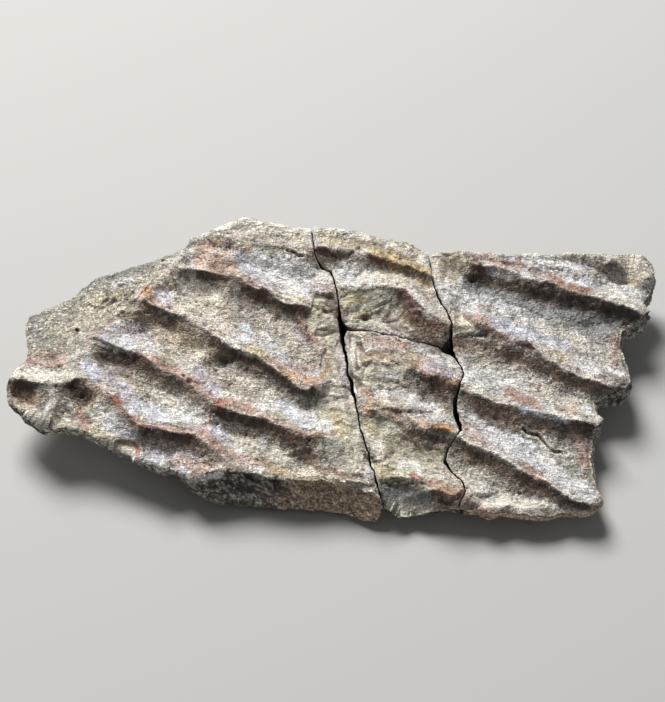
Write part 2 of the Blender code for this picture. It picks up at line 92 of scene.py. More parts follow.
# Broken front face of the left fragment: where it starts, and the hollow under its lip.
FRONT_FACE_Y = -15.0
FRONT_FACE_FADE = 2.0
UNDER_LIP_LEFT = -19.0
UNDER_LIP_RIGHT = 2.0
UNDER_LIP_FADE = 3.0
UNDER_LIP_DEPTH = 0.9
WALL_ROUGHNESS = 0.9

# Painted light on the front wall, which is lightened towards cream in two parts: where the left part starts
# and stops and where the right one starts, the share of red, green and blue that they gain, and the most that
# they reach.
PAINTED_LIGHT_LEFT = -13.0
PAINTED_LIGHT_LEFT_FADE = 12.0
PAINTED_LIGHT_STOP = 5.9
PAINTED_LIGHT_RIGHT = 17.0
PAINTED_LIGHT_RIGHT_FADE = 2.0
FRONT_PAINTED_LIGHT = (3.0, 2.2, 1.5)
FRONT_LIMIT = (0.88, 0.66, 0.46)

# Textures used in more than one place: thin peeled layers, hair lines, spongy grains and flecks.
# Each size has the seed of its noise, and flecks also a number of octaves. Seeds are arbitrary.
LAYERS = (3.0, 45)
LAYER_STRETCH = 1.5
LIGHT_HAIRS = (0.75, 192)
DARK_HAIRS = (0.85, 191)
GRAINS = (0.62, 54)
FLECKS = (0.42, 155, 2)

# The right end is bluer from here on.
BLUE_START = 16.0
BLUE_FADE = 8.0
BLUE_SHARE = 0.36

# The darkest and the lightest that the painted bone gets before the cracks are drawn.
DARKEST = 0.012
LIGHTEST = 0.90

# Mesh spacing.
OUTLINE_STEP = 0.2
LINE_STEP = 0.15
FACE_STEP = 0.154
BASE_STEP = 1.1
WALL_ROWS = 22

# How far the points inside a face stay from its outline.
FACE_MARGIN = 0.1
BASE_MARGIN = 0.4
LINE_MARGIN = 0.3

# How far a mark read on the crest level moves in Y for each millimetre that it lies deeper.
SLANT = 0.78
RIDGE_ANGLE = math.radians(-22.0)

# The middle of the rectangle that the plate covers.
PLATE_CENTRE = (-0.05, 1.0)

# Places in the exported texture: the corner and the size of the outer and the inner face's square,
# and the upper left corner and the width and height of the wall's strip.
OUTER_PLACE = ((0.01, 0.36), 0.62)
INNER_PLACE = ((0.66, 0.36), 0.33)
WALL_PLACE = ((0.01, 0.33), (0.98, 0.31))

# Fine texture of the material: the run of its fibres, its dark colours and its bump.
FIBRE_ANGLE = math.radians(24.0)
FIBRE_STRETCH = (0.45, 1.6, 1.0)
SOIL_COLOUR = (0.13, 0.085, 0.06)
GRAIN_GAP_COLOUR = (0.10, 0.095, 0.075)
BUMP_STRENGTH = 0.85
BUMP_HEIGHT = 0.2

# Floor, lights and sky.
FLOOR_HALF = 2.0
FLOOR_COLOUR = (0.56, 0.56, 0.55)
KEY_AZIMUTH = -27.0
KEY_ELEVATION = 53.0
KEY_DISTANCE = 0.70
KEY_SIZE = 0.32
KEY_POWER = 6.6
KEY_COLOUR = (1.0, 0.98, 0.95)
SKY_COLOUR = (0.95, 0.97, 1.0)
SKY_STRENGTH = 0.135

# Camera.
CAMERA_SENSOR = 36.0
CAMERA_ELEVATION = 52.0
CAMERA_LENS = 85.0
CAMERA_DISTANCE = 248.6
CAMERA_TARGET = (-1.0, 2.4, 8.0)

# Outer edges, anticlockwise: x, y and how far the rim's underside lies below the crest level.
# A fourth value is how far the foot of the broken front face stands out past its top.
LEFT_EDGE = [
    (-4.6, 23.3, 6.6), (-7.0, 23.5, 6.6), (-9.4, 24.3, 6.6), (-12.4, 24.9, 6.6), (-14.6, 25.4, 6.4),
    (-16.2, 24.7, 6.2), (-18.4, 23.6, 6.2), (-20.8, 22.3, 6.2), (-23.0, 21.4, 6.2), (-23.8, 19.9, 6.2),
    (-25.4, 19.0, 6.5), (-27.8, 18.2, 6.8), (-30.8, 17.6, 7.2), (-34.4, 16.7, 7.4), (-37.4, 15.9, 7.6),
    (-40.0, 14.4, 7.6), (-42.6, 12.8, 7.2), (-45.4, 11.2, 6.8), (-47.2, 9.8, 6.4), (-47.6, 8.0, 6.0),
    (-47.0, 5.2, 5.4), (-46.3, 1.6, 4.4), (-46.6, 0.0, 3.8), (-47.8, -2.2, 3.4), (-48.8, -4.6, 3.2),
    (-48.6, -6.4, 3.0), (-47.4, -7.6, 2.8), (-46.2, -8.7, 2.6), (-44.4, -10.4, 2.5), (-42.7, -11.4, 2.5),
    (-40.0, -11.0, 2.5), (-37.2, -11.6, 2.5), (-35.6, -12.4, 2.5), (-33.2, -13.7, 2.6),
    (-30.5, -15.1, 2.7), (-27.8, -16.2, 2.8), (-25.2, -17.3, 3.0), (-23.9, -16.9, 3.2),
    (-22.4, -18.0, 3.3), (-21.3, -19.2, 3.4, 0.1), (-19.4, -18.9, 4.6, 0.8), (-17.4, -18.5, 5.8, 1.3),
    (-15.6, -17.8, 6.5, 1.8), (-12.6, -18.0, 6.4, 1.8), (-9.6, -18.8, 6.2, 1.3), (-6.0, -19.0, 6.1, 1.2),
    (-2.6, -18.8, 6.0, 1.6), (0.6, -19.2, 5.6, 1.8), (3.0, -19.8, 5.2, 2.2), (5.0, -20.6, 4.9, 2.1),
]
BACK_EDGE = [
    (12.9, 19.9, 6.6), (11.0, 21.2, 6.6), (9.2, 21.6, 6.6), (6.2, 22.3, 6.6), (4.4, 22.6, 6.6),
    (3.2, 23.2, 6.6), (0.0, 23.6, 6.6), (-3.8, 23.9, 6.6),
]
FRONT_EDGE = [
    (7.0, -22.0, 3.6), (8.4, -22.6, 3.2), (10.5, -22.2, 3.0), (13.0, -22.3, 2.8), (15.2, -22.0, 2.7),
    (16.3, -22.3, 2.7),
]
RIGHT_EDGE = [
    (17.5, -22.5, 2.9), (19.6, -22.5, 2.9), (21.2, -23.4, 2.8), (22.8, -22.7, 2.8), (25.5, -23.0, 2.8),
    (28.5, -23.3, 2.8), (30.3, -23.1, 2.8), (31.0, -22.5, 3.0), (34.4, -22.7, 2.9), (36.2, -22.3, 2.8),
    (37.2, -21.4, 2.8), (37.2, -20.2, 3.0), (36.5, -17.6, 3.6), (36.5, -14.0, 4.3), (36.8, -10.8, 4.3),
    (36.9, -9.7, 4.4), (37.8, -9.5, 4.4), (38.5, -8.4, 4.4), (37.7, -7.2, 4.4), (37.6, -4.6, 4.5),
    (39.6, -3.8, 4.5), (41.8, -3.6, 4.6), (43.1, -2.2, 4.8), (43.3, 1.2, 5.0), (42.4, 4.8, 5.2),
    (43.0, 7.8, 5.2), (45.4, 8.8, 5.4), (47.1, 9.9, 5.6), (46.4, 12.2, 5.8), (48.0, 14.8, 6.0),
    (48.7, 17.6, 6.2), (48.6, 19.2, 6.3), (46.6, 20.4, 6.4), (42.0, 20.5, 6.5), (37.0, 20.2, 6.6),
    (31.0, 19.7, 6.6), (27.0, 19.8, 6.6), (22.0, 20.1, 6.6), (18.6, 20.2, 6.6), (17.0, 19.6, 6.6),
    (15.6, 20.2, 6.6), (14.5, 19.9, 6.6),
]

# Cracks, each from the back to the front or from left to right: x, y and width.
MAIN_CRACK_UPPER = [
    (-4.2, 23.5, 0.45), (-4.05, 20.6, 0.4), (-3.7, 18.8, 0.4), (-2.7, 17.7, 0.45), (-1.3, 16.8, 0.5),
    (-0.9, 15.2, 0.4), (-0.5, 13.0, 0.4), (-0.1, 10.4, 0.45), (0.0, 9.2, 0.65), (0.1, 7.8, 0.8),
]
MAIN_CRACK_LOWER = [
    (0.4, 5.6, 0.75), (0.7, 3.6, 0.6), (0.95, 1.4, 0.5), (1.25, -0.8, 0.5), (1.8, -2.8, 0.85),
    (2.05, -4.4, 0.65), (2.4, -7.0, 0.45), (2.9, -9.6, 0.4), (3.4, -11.9, 0.4), (4.1, -14.2, 0.4),
    (4.7, -16.6, 0.4), (5.2, -19.0, 0.4), (6.0, -21.2, 0.6),
]
CROSS_CRACK = [
    (1.1, 7.0, 0.6), (2.9, 6.8, 0.5), (5.5, 6.5, 0.45), (9.0, 5.8, 0.4), (12.4, 4.9, 0.4),
    (15.2, 4.3, 0.4),
]
RIGHT_CRACK_UPPER = [
    (13.9, 19.3, 0.6), (14.15, 16.4, 0.4), (14.5, 13.4, 0.4), (15.5, 10.6, 0.4), (16.6, 8.2, 0.4),
    (16.9, 6.9, 0.4), (16.7, 5.5, 0.8),
]
RIGHT_CRACK_LOWER = [
    (16.7, 3.8, 0.95), (17.2, 2.5, 0.5), (17.9, 1.3, 0.4), (18.4, -0.4, 0.4), (18.1, -2.2, 0.4),
    (17.4, -3.8, 0.5), (17.0, -5.0, 0.8), (17.1, -6.8, 0.9), (17.5, -8.8, 0.9), (17.5, -10.6, 0.6),
    (16.8, -12.0, 0.4), (15.6, -13.1, 0.4), (15.1, -14.5, 0.5), (16.2, -16.4, 0.5), (17.5, -18.2, 0.4),
    (17.9, -20.0, 0.4), (17.2, -21.4, 0.4), (16.9, -22.4, 0.5),
]

# Ridge crests from left to right: x, y, height as a share of the groove depth, and how soft the
# wall in front of the crest is, from 0 for a steep dark wall to 1 for a gentle slope.
RIDGES = {
    "tip_rim": [(-50, -3, 1, 0.3), (-45.5, -4.2, 1, 0), (-42.6, -4.6, 1, 0.6), (-41, -4.5, 1, 0.6),
                (-38.4, -3.8, 1, 0), (-35.6, -3.2, 0.8, 0.4), (-33, -2.2, 0.5, 1)],
    "front_left": [(-38.5, -1.5, 0.9, 1), (-36.3, -3.5, 1, 1), (-34, -5.6, 1, 0.9), (-31.3, -8.8, 1.05, 0.7),
                   (-28.6, -10.9, 1.05, 0.1), (-25, -11.6, 1, 0), (-21, -12.2, 1, 0.1),
                   (-18.6, -13.6, 0.95, 0.7), (-16.6, -15.6, 0.9, 0.8), (-14, -17.8, 0.9, 1)],
    "middle_left": [(-38, 3.6, 1, 0.6), (-35.6, 3, 1, 0), (-34.5, 2.5, 1, 0), (-30, 0.9, 1, 0),
                    (-27, -1, 1, 0.3), (-23.6, -3, 1, 0.3), (-20.8, -4.8, 1, 0.6), (-18.8, -6.6, 1.05, 0.8),
                    (-17.4, -7.8, 1.05, 0), (-14.8, -8.8, 1, 0), (-11.5, -9.6, 1, 0), (-8.2, -10.5, 1, 0.2),
                    (-5.4, -11.8, 1, 0.4), (-1.4, -12.2, 0.9, 0.8), (3, -12.6, 0.7, 1)],
    "back_left": [(-32, 11.6, 1, 1), (-30.6, 9.8, 1, 0.3), (-28, 9.2, 1, 0), (-25, 7.8, 1, 0.1),
                  (-22.6, 6.5, 1, 0.6), (-20, 5, 1, 0.6), (-17.5, 3, 1, 0), (-13.5, 1.4, 1.05, 0),
                  (-10, -1.2, 1.05, 0.1), (-7.5, -3.4, 1, 0), (-4.6, -4.6, 0.9, 0), (-2.8, -3.4, 0.6, 0.4)],
    "rear_left": [(-25, 16, 1, 0.5), (-23, 15.6, 1, 0), (-21, 15.1, 1, 0), (-18.4, 14.8, 1, 0.1),
                  (-16.2, 14.4, 1, 0.8), (-14.4, 13.5, 1, 0.3), (-13, 12.8, 1, 0), (-11, 11.6, 1, 0),
                  (-7.5, 9.8, 1, 0), (-4.2, 9.4, 0.9, 0.3), (-1.4, 8.2, 0.7, 0.8)],
    "rear_rim": [(-16, 21.4, 0.95, 1), (-12, 20.8, 0.95, 0.8), (-8, 19.6, 0.95, 0.6), (-5, 19.6, 0.95, 0.9),
                 (-3, 19.9, 1, 0.2), (0.4, 19.6, 1, 0.2), (3, 19.2, 1, 0.8), (5, 18.7, 1, 0.3),
                 (9, 17.2, 1, 0), (13.5, 15.6, 0.95, 0.2), (16, 14.8, 0.7, 1)],
    "rear_middle": [(-0.6, 13.4, 0.6, 1), (3, 13.2, 0.7, 0.9), (8.4, 13.4, 0.9, 0.6),
                    (10.4, 12.2, 1, 0.2), (12, 9.8, 1.05, 0.4), (14.4, 7.8, 1.05, 0.3),
                    (16.6, 6.6, 1, 0.2), (19.4, 7.2, 0.95, 0.7), (22.6, 6.4, 1, 0.5),
                    (26, 4.5, 1, 0.5), (29, 2.8, 1, 0.4), (31.6, 0.7, 1, 0.3),
                    (35, -1.3, 1.05, 0.3), (39, -3, 1.05, 0.2), (44, -3.8, 1, 0.2)],
    "cross": [(2.6, 0.4, 0.8, 1), (5, 0.6, 0.9, 0.8), (8.6, 0, 0.9, 0.8), (11.6, -1.3, 0.95, 0.3),
              (14.6, -2.2, 1.05, 0), (17.6, -4, 1, 0.3), (20.6, -5.2, 1, 0.2), (23, -6.4, 1, 0.3),
              (27, -7.3, 1, 0.4), (31, -8.3, 1, 0.2), (35, -9.2, 1.05, 0), (40, -9.4, 1, 0)],
    "front_middle": [(3.4, -6.4, 0.75, 1), (6.4, -7.2, 0.8, 0.8), (9.4, -8, 0.8, 0.8),
                     (11.8, -10.2, 0.95, 0.2), (14.4, -11, 1.05, 0), (17, -12.2, 1, 0.2),
                     (20.4, -13.7, 1, 0.1), (23.6, -15.6, 1.05, 0.2), (27, -17.5, 1, 0.2),
                     (30, -19.5, 1, 0.1), (33.4, -21.4, 1.05, 0), (38, -22.6, 1, 0)],
    "rear_right": [(19.4, 17.9, 0.9, 0.1), (22, 17.2, 1, 0), (24, 16.8, 1, 0.3), (28, 15.5, 1, 0.4),
                   (32, 14.2, 1, 0.2), (37, 12.6, 1, 0), (41, 11, 1, 0), (45, 9.6, 1.05, 0),
                   (48, 8.8, 1, 0.1)],
    "front_lobe": [(6, -17.8, 0.75, 0.8), (10, -18.8, 0.85, 0.2), (13.4, -20.4, 1, 0), (15.8, -21.4, 1, 0),
                   (18.2, -20.8, 0.8, 0.6)],
}

# Rounded rises: the rims along the edges, and the low saddles that part the grooves into pits.
# Each has its half width, then x, y and height as a share of the groove depth.
RISES = {
    "rear_rim": (6.0, [(-24, 22.5, 1), (-15, 24.6, 1), (-7, 23, 1), (0, 23, 1), (6, 21.6, 1),
                       (13, 19.4, 0.95)]),
    "front_rim": (2.8, [(-20, -18, 0.8), (-16, -17.6, 0.9), (-12, -18, 0.95), (-8, -18.9, 0.95),
                        (-3, -18.9, 0.9), (1, -19.2, 0.85), (5, -20.4, 0.75)]),
    "right_rim": (3.2, [(14, 19.4, 1), (26, 19, 1), (38, 19.3, 1), (46.4, 19.4, 1), (47.6, 17, 0.85)]),
    "right_ledge": (3.4, [(17, -22.4, 0.5), (22, -22.8, 0.6), (31, -22.8, 0.5)]),
    "ornament_margin": (4.4, [(-38, 0.6, 0.85), (-36, 3, 0.9), (-33.6, 5.4, 0.9), (-31.4, 7.6, 0.9),
                              (-30, 10, 0.95), (-28.8, 12.6, 0.95), (-26, 15, 1), (-24, 18, 1)]),
    "right_slope": (4.4, [(20, 18.6, 0.95), (28, 17.9, 0.95), (35, 17, 0.9), (38.4, 16, 0.8)]),
    "rear_bulge": (4.2, [(-22, 18.4, 0.95), (-19, 17.8, 1), (-17, 17.8, 0.9)]),
    "rear_fill": (3.4, [(-17, 20.6, 0.95), (-13, 19.4, 0.9), (-9.4, 18.6, 0.85), (-7, 18, 0.8)]),
    "tip_plain": (3.6, [(-47.4, -1.6, 0.8), (-42, -1.4, 0.75), (-37.4, 0.4, 0.85)]),
    "tip_end": (2.4, [(-48, -4, 0.95), (-48.2, -6, 0.5), (-45.6, -9, 0.3), (-42.6, -11, 0.8),
                      (-38, -11.4, 0.75), (-34, -13, 0.6), (-30, -15, 0.6), (-25, -17, 0.7)]),
    "tip_saddle": (2.2, [(-42.3, -4.6, 0.9), (-41.8, -7, 0.8), (-42.2, -9.6, 0.85)]),
    "tip_floor": (3.0, [(-34, -9, 0.5), (-33, -12.6, 0.6)]),
    "front_saddle": (2.4, [(-18, -8, 0.8), (-19.2, -10.5, 0.7), (-18.6, -13.4, 0.85)]),
    "back_saddle": (2.4, [(-17, 3.4, 0.7), (-21, 0.5, 0.45), (-22.5, -3, 0.8)]),
    "main_crack": (3.0, [(-4.4, 9.4, 0.8), (-3.2, 5, 0.5), (-0.8, 0, 0.65), (0.4, -5, 0.7), (1, -9, 0.75),
                         (1.6, -13, 0.75), (2.2, -17, 0.6)]),
    "lower_middle": (3.0, [(5, 0.5, 0.9), (4.2, -3, 0.55), (4, -6.4, 0.75), (5, -11, 0.6), (6, -14.5, 0.7),
                           (7.5, -18, 0.7)]),
    "right_crack": (3.0, [(14.8, 18, 0.95), (15.6, 14, 0.85), (16.4, 10, 0.9), (17.6, 7, 0.95)]),
}

# Pits and hollows: centre x and y, radii along and across, turn in degrees and depth.
HOLLOWS = [
    (-46.0, -5.6, 2.7, 2.1, 15, 0.8), (-37.5, -6.5, 2.4, 2.0, -35, 1.2), (44.0, 16.9, 4.0, 1.5, -4, 1.5),
    (22.6, 15.0, 3.4, 1.5, -15, 0.7), (5.2, 9.4, 5.0, 3.2, 0, 0.6), (16.2, 4.0, 1.6, 2.2, 0, 1.2),
    (-5.2, -15.2, 2.8, 1.8, -10, 0.8), (-17.6, 0.9, 2.2, 1.4, -30, 0.8), (-4.8, -6.2, 2.6, 1.3, -5, 0.7),
    (9.6, -22.0, 3.6, 1.8, 0, 0.9), (3.0, -22.0, 3.4, 2.0, -20, 1.2), (-39.2, 5.6, 0.9, 0.9, 0, 0.7),
    (39.0, 8.6, 5.2, 1.8, -8, 0.7), (-29.2, 6.6, 3.4, 1.5, -25, 0.4), (-33.2, -0.6, 3.4, 1.5, -22, 0.6),
    (-15.4, -10.9, 3.4, 1.4, -12, 0.8), (-26.0, -13.8, 3.6, 1.5, -12, 0.8),
    (-21.0, 12.8, 3.2, 1.4, -8, 0.7),
]

# Where the outer layer of bone ends against the broken spongy bone, from left to right.
ORNAMENT_EDGE = [
    (-50, -0.6), (-46.3, 0.2), (-42, 0.2), (-38, 0.6), (-36.4, 2.8), (-34, 5.2), (-31.5, 7.5), (-30.3, 9.2),
    (-30, 11.4), (-28, 13.2), (-26, 15.2), (-24.5, 17.2), (-22.6, 20.2), (-21, 23), (-20, 27),
]

# Cracks that stop inside the bone, as read on the crest level: x and y.
PARTIAL_CRACKS = [
    [(26.8, -10.9), (27.4, -11.5), (28.0, -11.7), (29.0, -11.8), (30.1, -13.3), (31.0, -14.4),
     (32.2, -14.4), (32.9, -14.7)],
    [(-8.0, 19.2), (-6.8, 18.8), (-6.3, 18.2), (-5.5, 18.1)],
]
PARTIAL_CRACK_HALF_WIDTH = 0.24
PARTIAL_CRACK_DEPTH = 1.3

# Edges of thin flakes, as read on the crest level: the height of the step, how far the lower side
# reaches before it meets the surface again, and the line, which has the lower side on its right.
FLAKE_EDGES = [
    (0.45, 1.6, [(2.3, 3.6), (3.5, 2.9), (3.4, 1.3), (3.2, -0.5)]),
    (0.5, 1.8, [(1.0, -0.8), (2.1, -2.0), (3.2, -3.3)]),
    (0.3, 1.5, [(3.3, -0.5), (5.0, 0.7), (7.0, -0.4)]),
    (0.25, 1.2, [(6.0, 2.5), (8.5, 1.7), (10.2, 0.3), (11.9, -1.6)]),
    (0.25, 1.2, [(4.6, 2.0), (7.0, 1.0), (9.4, -0.4)]),
    (0.3, 1.2, [(6.7, -3.3), (7.4, -2.8), (8.4, -3.0), (9.3, -3.7)]),
    (0.4, 1.3, [(12.0, -0.5), (11.8, -1.8)]),
    (0.4, 1.6, [(6.1, -7.4), (8.3, -7.9), (10.7, -7.9), (12.9, -8.2)]),
    (0.3, 1.4, [(3.5, -4.5), (4.4, -5.3), (5.6, -5.8)]),
    (0.35, 1.5, [(9.4, -11.9), (10.6, -12.7), (12.0, -14.3), (12.9, -15.6)]),
    (0.3, 1.2, [(3.7, -15.1), (4.5, -16.2), (6.0, -15.7), (7.0, -15.1)]),
    (0.3, 1.3, [(5.7, -16.5), (8.1, -17.2), (9.3, -17.7)]),
    (0.5, 1.2, [(10.4, -19.0), (12.5, -19.5)]),
    (0.8, 1.6, [(13.9, -21.0), (15.1, -21.5), (16.5, -21.1), (17.5, -20.4)]),
    (0.6, 1.2, [(-1.4, -18.7), (0.0, -19.4), (1.9, -19.4), (4.0, -19.9)]),
    (0.3, 1.4, [(1.2, -12.3), (2.1, -14.4), (2.2, -16.8), (2.0, -18.1)]),
    (0.25, 1.2, [(-2.9, -5.4), (-0.9, -5.9), (1.0, -5.6)]),
    (0.3, 1.3, [(-1.9, -8.1), (0.0, -7.8), (1.3, -8.3)]),
    (0.25, 1.2, [(-1.4, -10.4), (0.4, -10.0), (1.8, -10.6)]),
    (0.5, 1.4, [(-7.1, -15.4), (-6.2, -14.9), (-4.8, -14.6)]),
    (0.2, 1.0, [(-21.9, -15.4), (-20.2, -15.9), (-18.6, -15.1)]),
    (0.2, 1.0, [(-21.2, -13.8), (-19.5, -14.3), (-17.8, -15.3)]),
    (0.4, 1.4, [(-3.9, 11.6), (-0.8, 11.5)]),
    (0.4, 1.4, [(-3.7, 9.4), (-2.2, 8.8), (-0.6, 9.2)]),
    (0.35, 1.3, [(-3.8, 5.0), (-2.4, 4.8), (-0.4, 5.6)]),
    (0.3, 1.3, [(0.9, 18.4), (2.4, 19.6), (3.2, 20.1), (4.2, 18.8)]),
    (0.35, 1.0, [(3.6, 10.9), (3.7, 9.0)]),
    (0.3, 1.2, [(4.2, 8.4), (5.6, 9.5), (7.4, 10.8)]),
    (0.2, 0.8, [(10.2, 12.7), (11.7, 10.1), (14.1, 8.1), (15.8, 7.0)]),
    (0.35, 1.2, [(1.6, 7.2), (3.6, 7.9), (5.3, 7.6)]),
    (0.45, 2.4, [(19.1, 8.1), (20.1, 7.1), (21.3, 6.0)]),
    (0.5, 1.4, [(18.0, 4.9), (20.0, 5.4), (22.0, 5.5)]),
    (0.25, 1.0, [(22.4, 7.4), (22.3, 6.0)]),
    (0.3, 1.8, [(46.5, 12.0), (43.2, 12.8), (40.3, 13.9), (39.4, 15.4), (37.9, 16.8)]),
    (0.3, 1.4, [(42.7, 19.1), (43.7, 17.9), (45.6, 16.4), (47.6, 16.2)]),
    (0.3, 1.2, [(17.4, -10.6), (18.9, -10.9), (20.0, -12.5)]),
    (0.35, 1.2, [(22.3, -24.1), (22.8, -23.4), (24.5, -22.8), (25.1, -24.1)]),
    (0.35, 1.2, [(18.9, -22.2), (19.5, -23.4), (20.6, -24.7)]),
    (0.35, 0.9, [(-31.1, 7.5), (-29.4, 7.7), (-27.9, 8.0)]),
    (0.25, 1.0, [(-33.8, 6.5), (-31.9, 8.2), (-30.0, 10.6), (-28.6, 13.0)]),
    (0.25, 1.0, [(-35.0, 7.2), (-32.9, 9.0), (-31.0, 11.6), (-29.6, 14.0)]),
    (0.2, 1.0, [(-36.4, 7.6), (-34.0, 9.6), (-32.0, 12.2)]),
    (0.4, 1.4, [(16.6, -4.6), (17.6, -3.4), (18.6, -3.6)]),
    (0.25, 1.2, [(25.6, 10.6), (28.6, 9.6), (31.4, 8.0)]),
    (0.2, 1.2, [(22.6, 18.4), (25.4, 17.8), (28.4, 17.4)]),
    (0.2, 1.2, [(29.4, 18.0), (32.0, 17.0), (35.0, 16.6)]),
    (0.25, 1.0, [(34.0, -7.8), (36.0, -8.3), (37.8, -8.5)]),
    (0.25, 1.2, [(-26.6, -10.4), (-24.0, -11.0), (-21.6, -11.4)]),
    (0.2, 1.0, [(-27.6, 0.2), (-25.2, -0.8), (-23.4, -2.0)]),
    (0.2, 1.0, [(-15.4, 2.8), (-13.0, 2.0), (-10.8, 0.8)]),
    (0.25, 1.0, [(-14.0, 13.6), (-12.0, 12.4), (-9.6, 11.2), (-7.4, 10.2)]),
    (0.25, 1.0, [(-21.4, 16.6), (-18.8, 15.8), (-16.8, 15.2)]),
]

# Chips: places where the outer layer has flaked off or calcite has grown, as read on the crest
# level: how deep the floor lies, how strongly it is faceted, the facet size, and the outline.
CHIPS = {
    "rear_calcite": (0.55, 0.15, 3.4, [(14.0, 19.9), (15.0, 19.6), (16.4, 19.2), (19.0, 19.9),
                                       (19.5, 18.4), (19.8, 17.2), (19.2, 15.7), (18.4, 14.6),
                                       (17.4, 13.9), (16.0, 13.2), (14.7, 13.0), (14.2, 15.1)]),
    "crest_calcite": (0.25, 0.3, 3.0, [(17.2, 7.9), (18.6, 8.3), (19.9, 7.4), (21.0, 6.0), (20.3, 5.2),
                                       (18.4, 4.9), (17.3, 5.0)]),
    "grey_hollow": (0.3, 0.3, 3.0, [(0.1, 10.8), (1.2, 11.6), (3.5, 12.2), (6.2, 12.7), (8.4, 12.6),
                                    (9.6, 11.0), (10.2, 9.0), (10.4, 7.4), (9.0, 6.0), (7.2, 5.6),
                                    (3.4, 6.2), (0.8, 6.6), (-0.1, 8.2)]),
    "ragged_edge": (0.5, 0.22, 2.4, [(-3.9, 11.3), (-4.0, 9.6), (-5.3, 7.5), (-5.0, 6.0), (-5.2, 5.0),
                                     (-4.4, 4.4), (-3.8, 3.0), (-3.0, 2.6), (-2.0, 2.3), (-2.6, 0.6),
                                     (-2.9, -1.6), (-2.2, -3.2), (1.9, -3.2), (0.9, 2.0), (0.3, 6.0),
                                     (-0.3, 9.6), (-0.9, 11.6), (-2.4, 11.2)]),
    "front_left_flake": (0.5, 0.15, 2.6, [(-34.2, -14.6), (-33.0, -14.0), (-31.6, -13.8), (-29.6, -14.1),
                                          (-28.8, -15.4), (-28.2, -17.2), (-30.5, -17.8), (-33.4, -16.6)]),
    "smooth_slope": (0.25, 0.2, 3.2, [(-2.6, -4.6), (-0.6, -4.2), (1.8, -4.4), (2.3, -8.0),
                                      (2.8, -12.0), (3.4, -16.4), (2.4, -18.0), (-0.4, -18.0),
                                      (-2.0, -15.0), (-2.6, -11.0), (-3.4, -8.0)]),
    "lower_middle_back": (0.3, 0.25, 2.2, [(1.4, 4.4), (3.2, 3.6), (3.8, 1.2), (6.5, 0.8), (9.6, -0.4),
                                           (9.2, -3.4), (5.4, -5.2), (2.6, -5.4), (1.9, -1.8)]),
    "lower_middle_front": (0.35, 0.3, 2.0, [(2.8, -8.8), (6.0, -9.2), (9.4, -10.6), (11.5, -13.6),
                                            (14.6, -14.4), (15.6, -16.8), (12.0, -17.4), (8.4, -17.2),
                                            (5.4, -18.4), (4.3, -14.2)]),
    "front_grey": (0.55, 0.4, 2.4, [(5.7, -19.3), (8.2, -18.8), (10.7, -19.0), (12.8, -20.6), (13.6, -21.9),
                                    (14.1, -24.6), (10.0, -25.0), (6.0, -25.0)]),
    "crack_corner": (0.3, 0.5, 1.4, [(16.6, -6.8), (17.6, -4.6), (18.6, -4.6), (18.4, -6.6), (17.8, -9.4),
                                     (17.2, -10.6)]),
}
CHIP_STEP = 0.18

# Loose-looking lumps that stand up from chips and edges, as read on the crest level: centre x and
# y, radii along and across, turn in degrees and height.
LUMPS = [
    (-33.0, 12.6, 1.3, 0.6, 30, 0.45), (-35.9, 9.3, 0.8, 0.6, 20, 0.35), (-34.4, 9.9, 0.9, 0.6, 0, 0.4),
    (-24.6, -1.3, 0.6, 0.5, 0, 0.25), (-27.4, 12.2, 1.0, 0.7, 0, 0.3), (1.9, 9.6, 1.2, 1.1, 20, 0.3),
    (5.8, 8.9, 1.9, 0.3, 32, 0.5), (2.4, 7.0, 0.8, 0.5, 0, 0.4), (0.6, 12.6, 0.9, 0.6, 20, 0.3),
    (2.2, 0.6, 0.5, 2.4, 5, 0.5), (6.4, -4.2, 1.3, 0.6, -10, 0.5), (4.6, -8.2, 1.4, 0.6, -15, 0.45),
    (15.0, -2.0, 2.0, 0.7, -28, 0.45), (14.2, -10.6, 2.8, 0.7, -20, 0.4),
    (14.6, -20.6, 1.5, 1.0, -40, 0.4), (-2.9, 8.6, 0.9, 0.5, 50, 0.25), (-2.6, 5.8, 0.9, 0.5, 20, 0.25),
    (-0.2, -9.6, 1.5, 0.8, -60, 0.3), (-1.4, -6.2, 1.6, 0.7, 20, 0.3),
    (38.2, -8.9, 0.9, 0.7, 0, 0.5), (27.8, 3.7, 1.4, 0.9, -20, 0.35), (3.6, -18.6, 0.7, 0.55, 0, 0.5),
    (-28.8, 10.4, 1.5, 1.0, 10, 0.5), (-3.4, -4.6, 2.0, 1.2, -30, 0.35), (29.0, -23.0, 1.4, 0.6, 0, 0.3),
    (23.6, -23.2, 1.0, 0.6, 0, 0.35), (33.6, -22.8, 1.4, 0.7, 10, 0.3), (5.4, 4.8, 2.0, 0.5, -8, 0.25),
    (-12.0, 0.9, 1.5, 0.8, -20, 0.25), (9.6, 18.6, 1.6, 0.7, -20, 0.25),
]

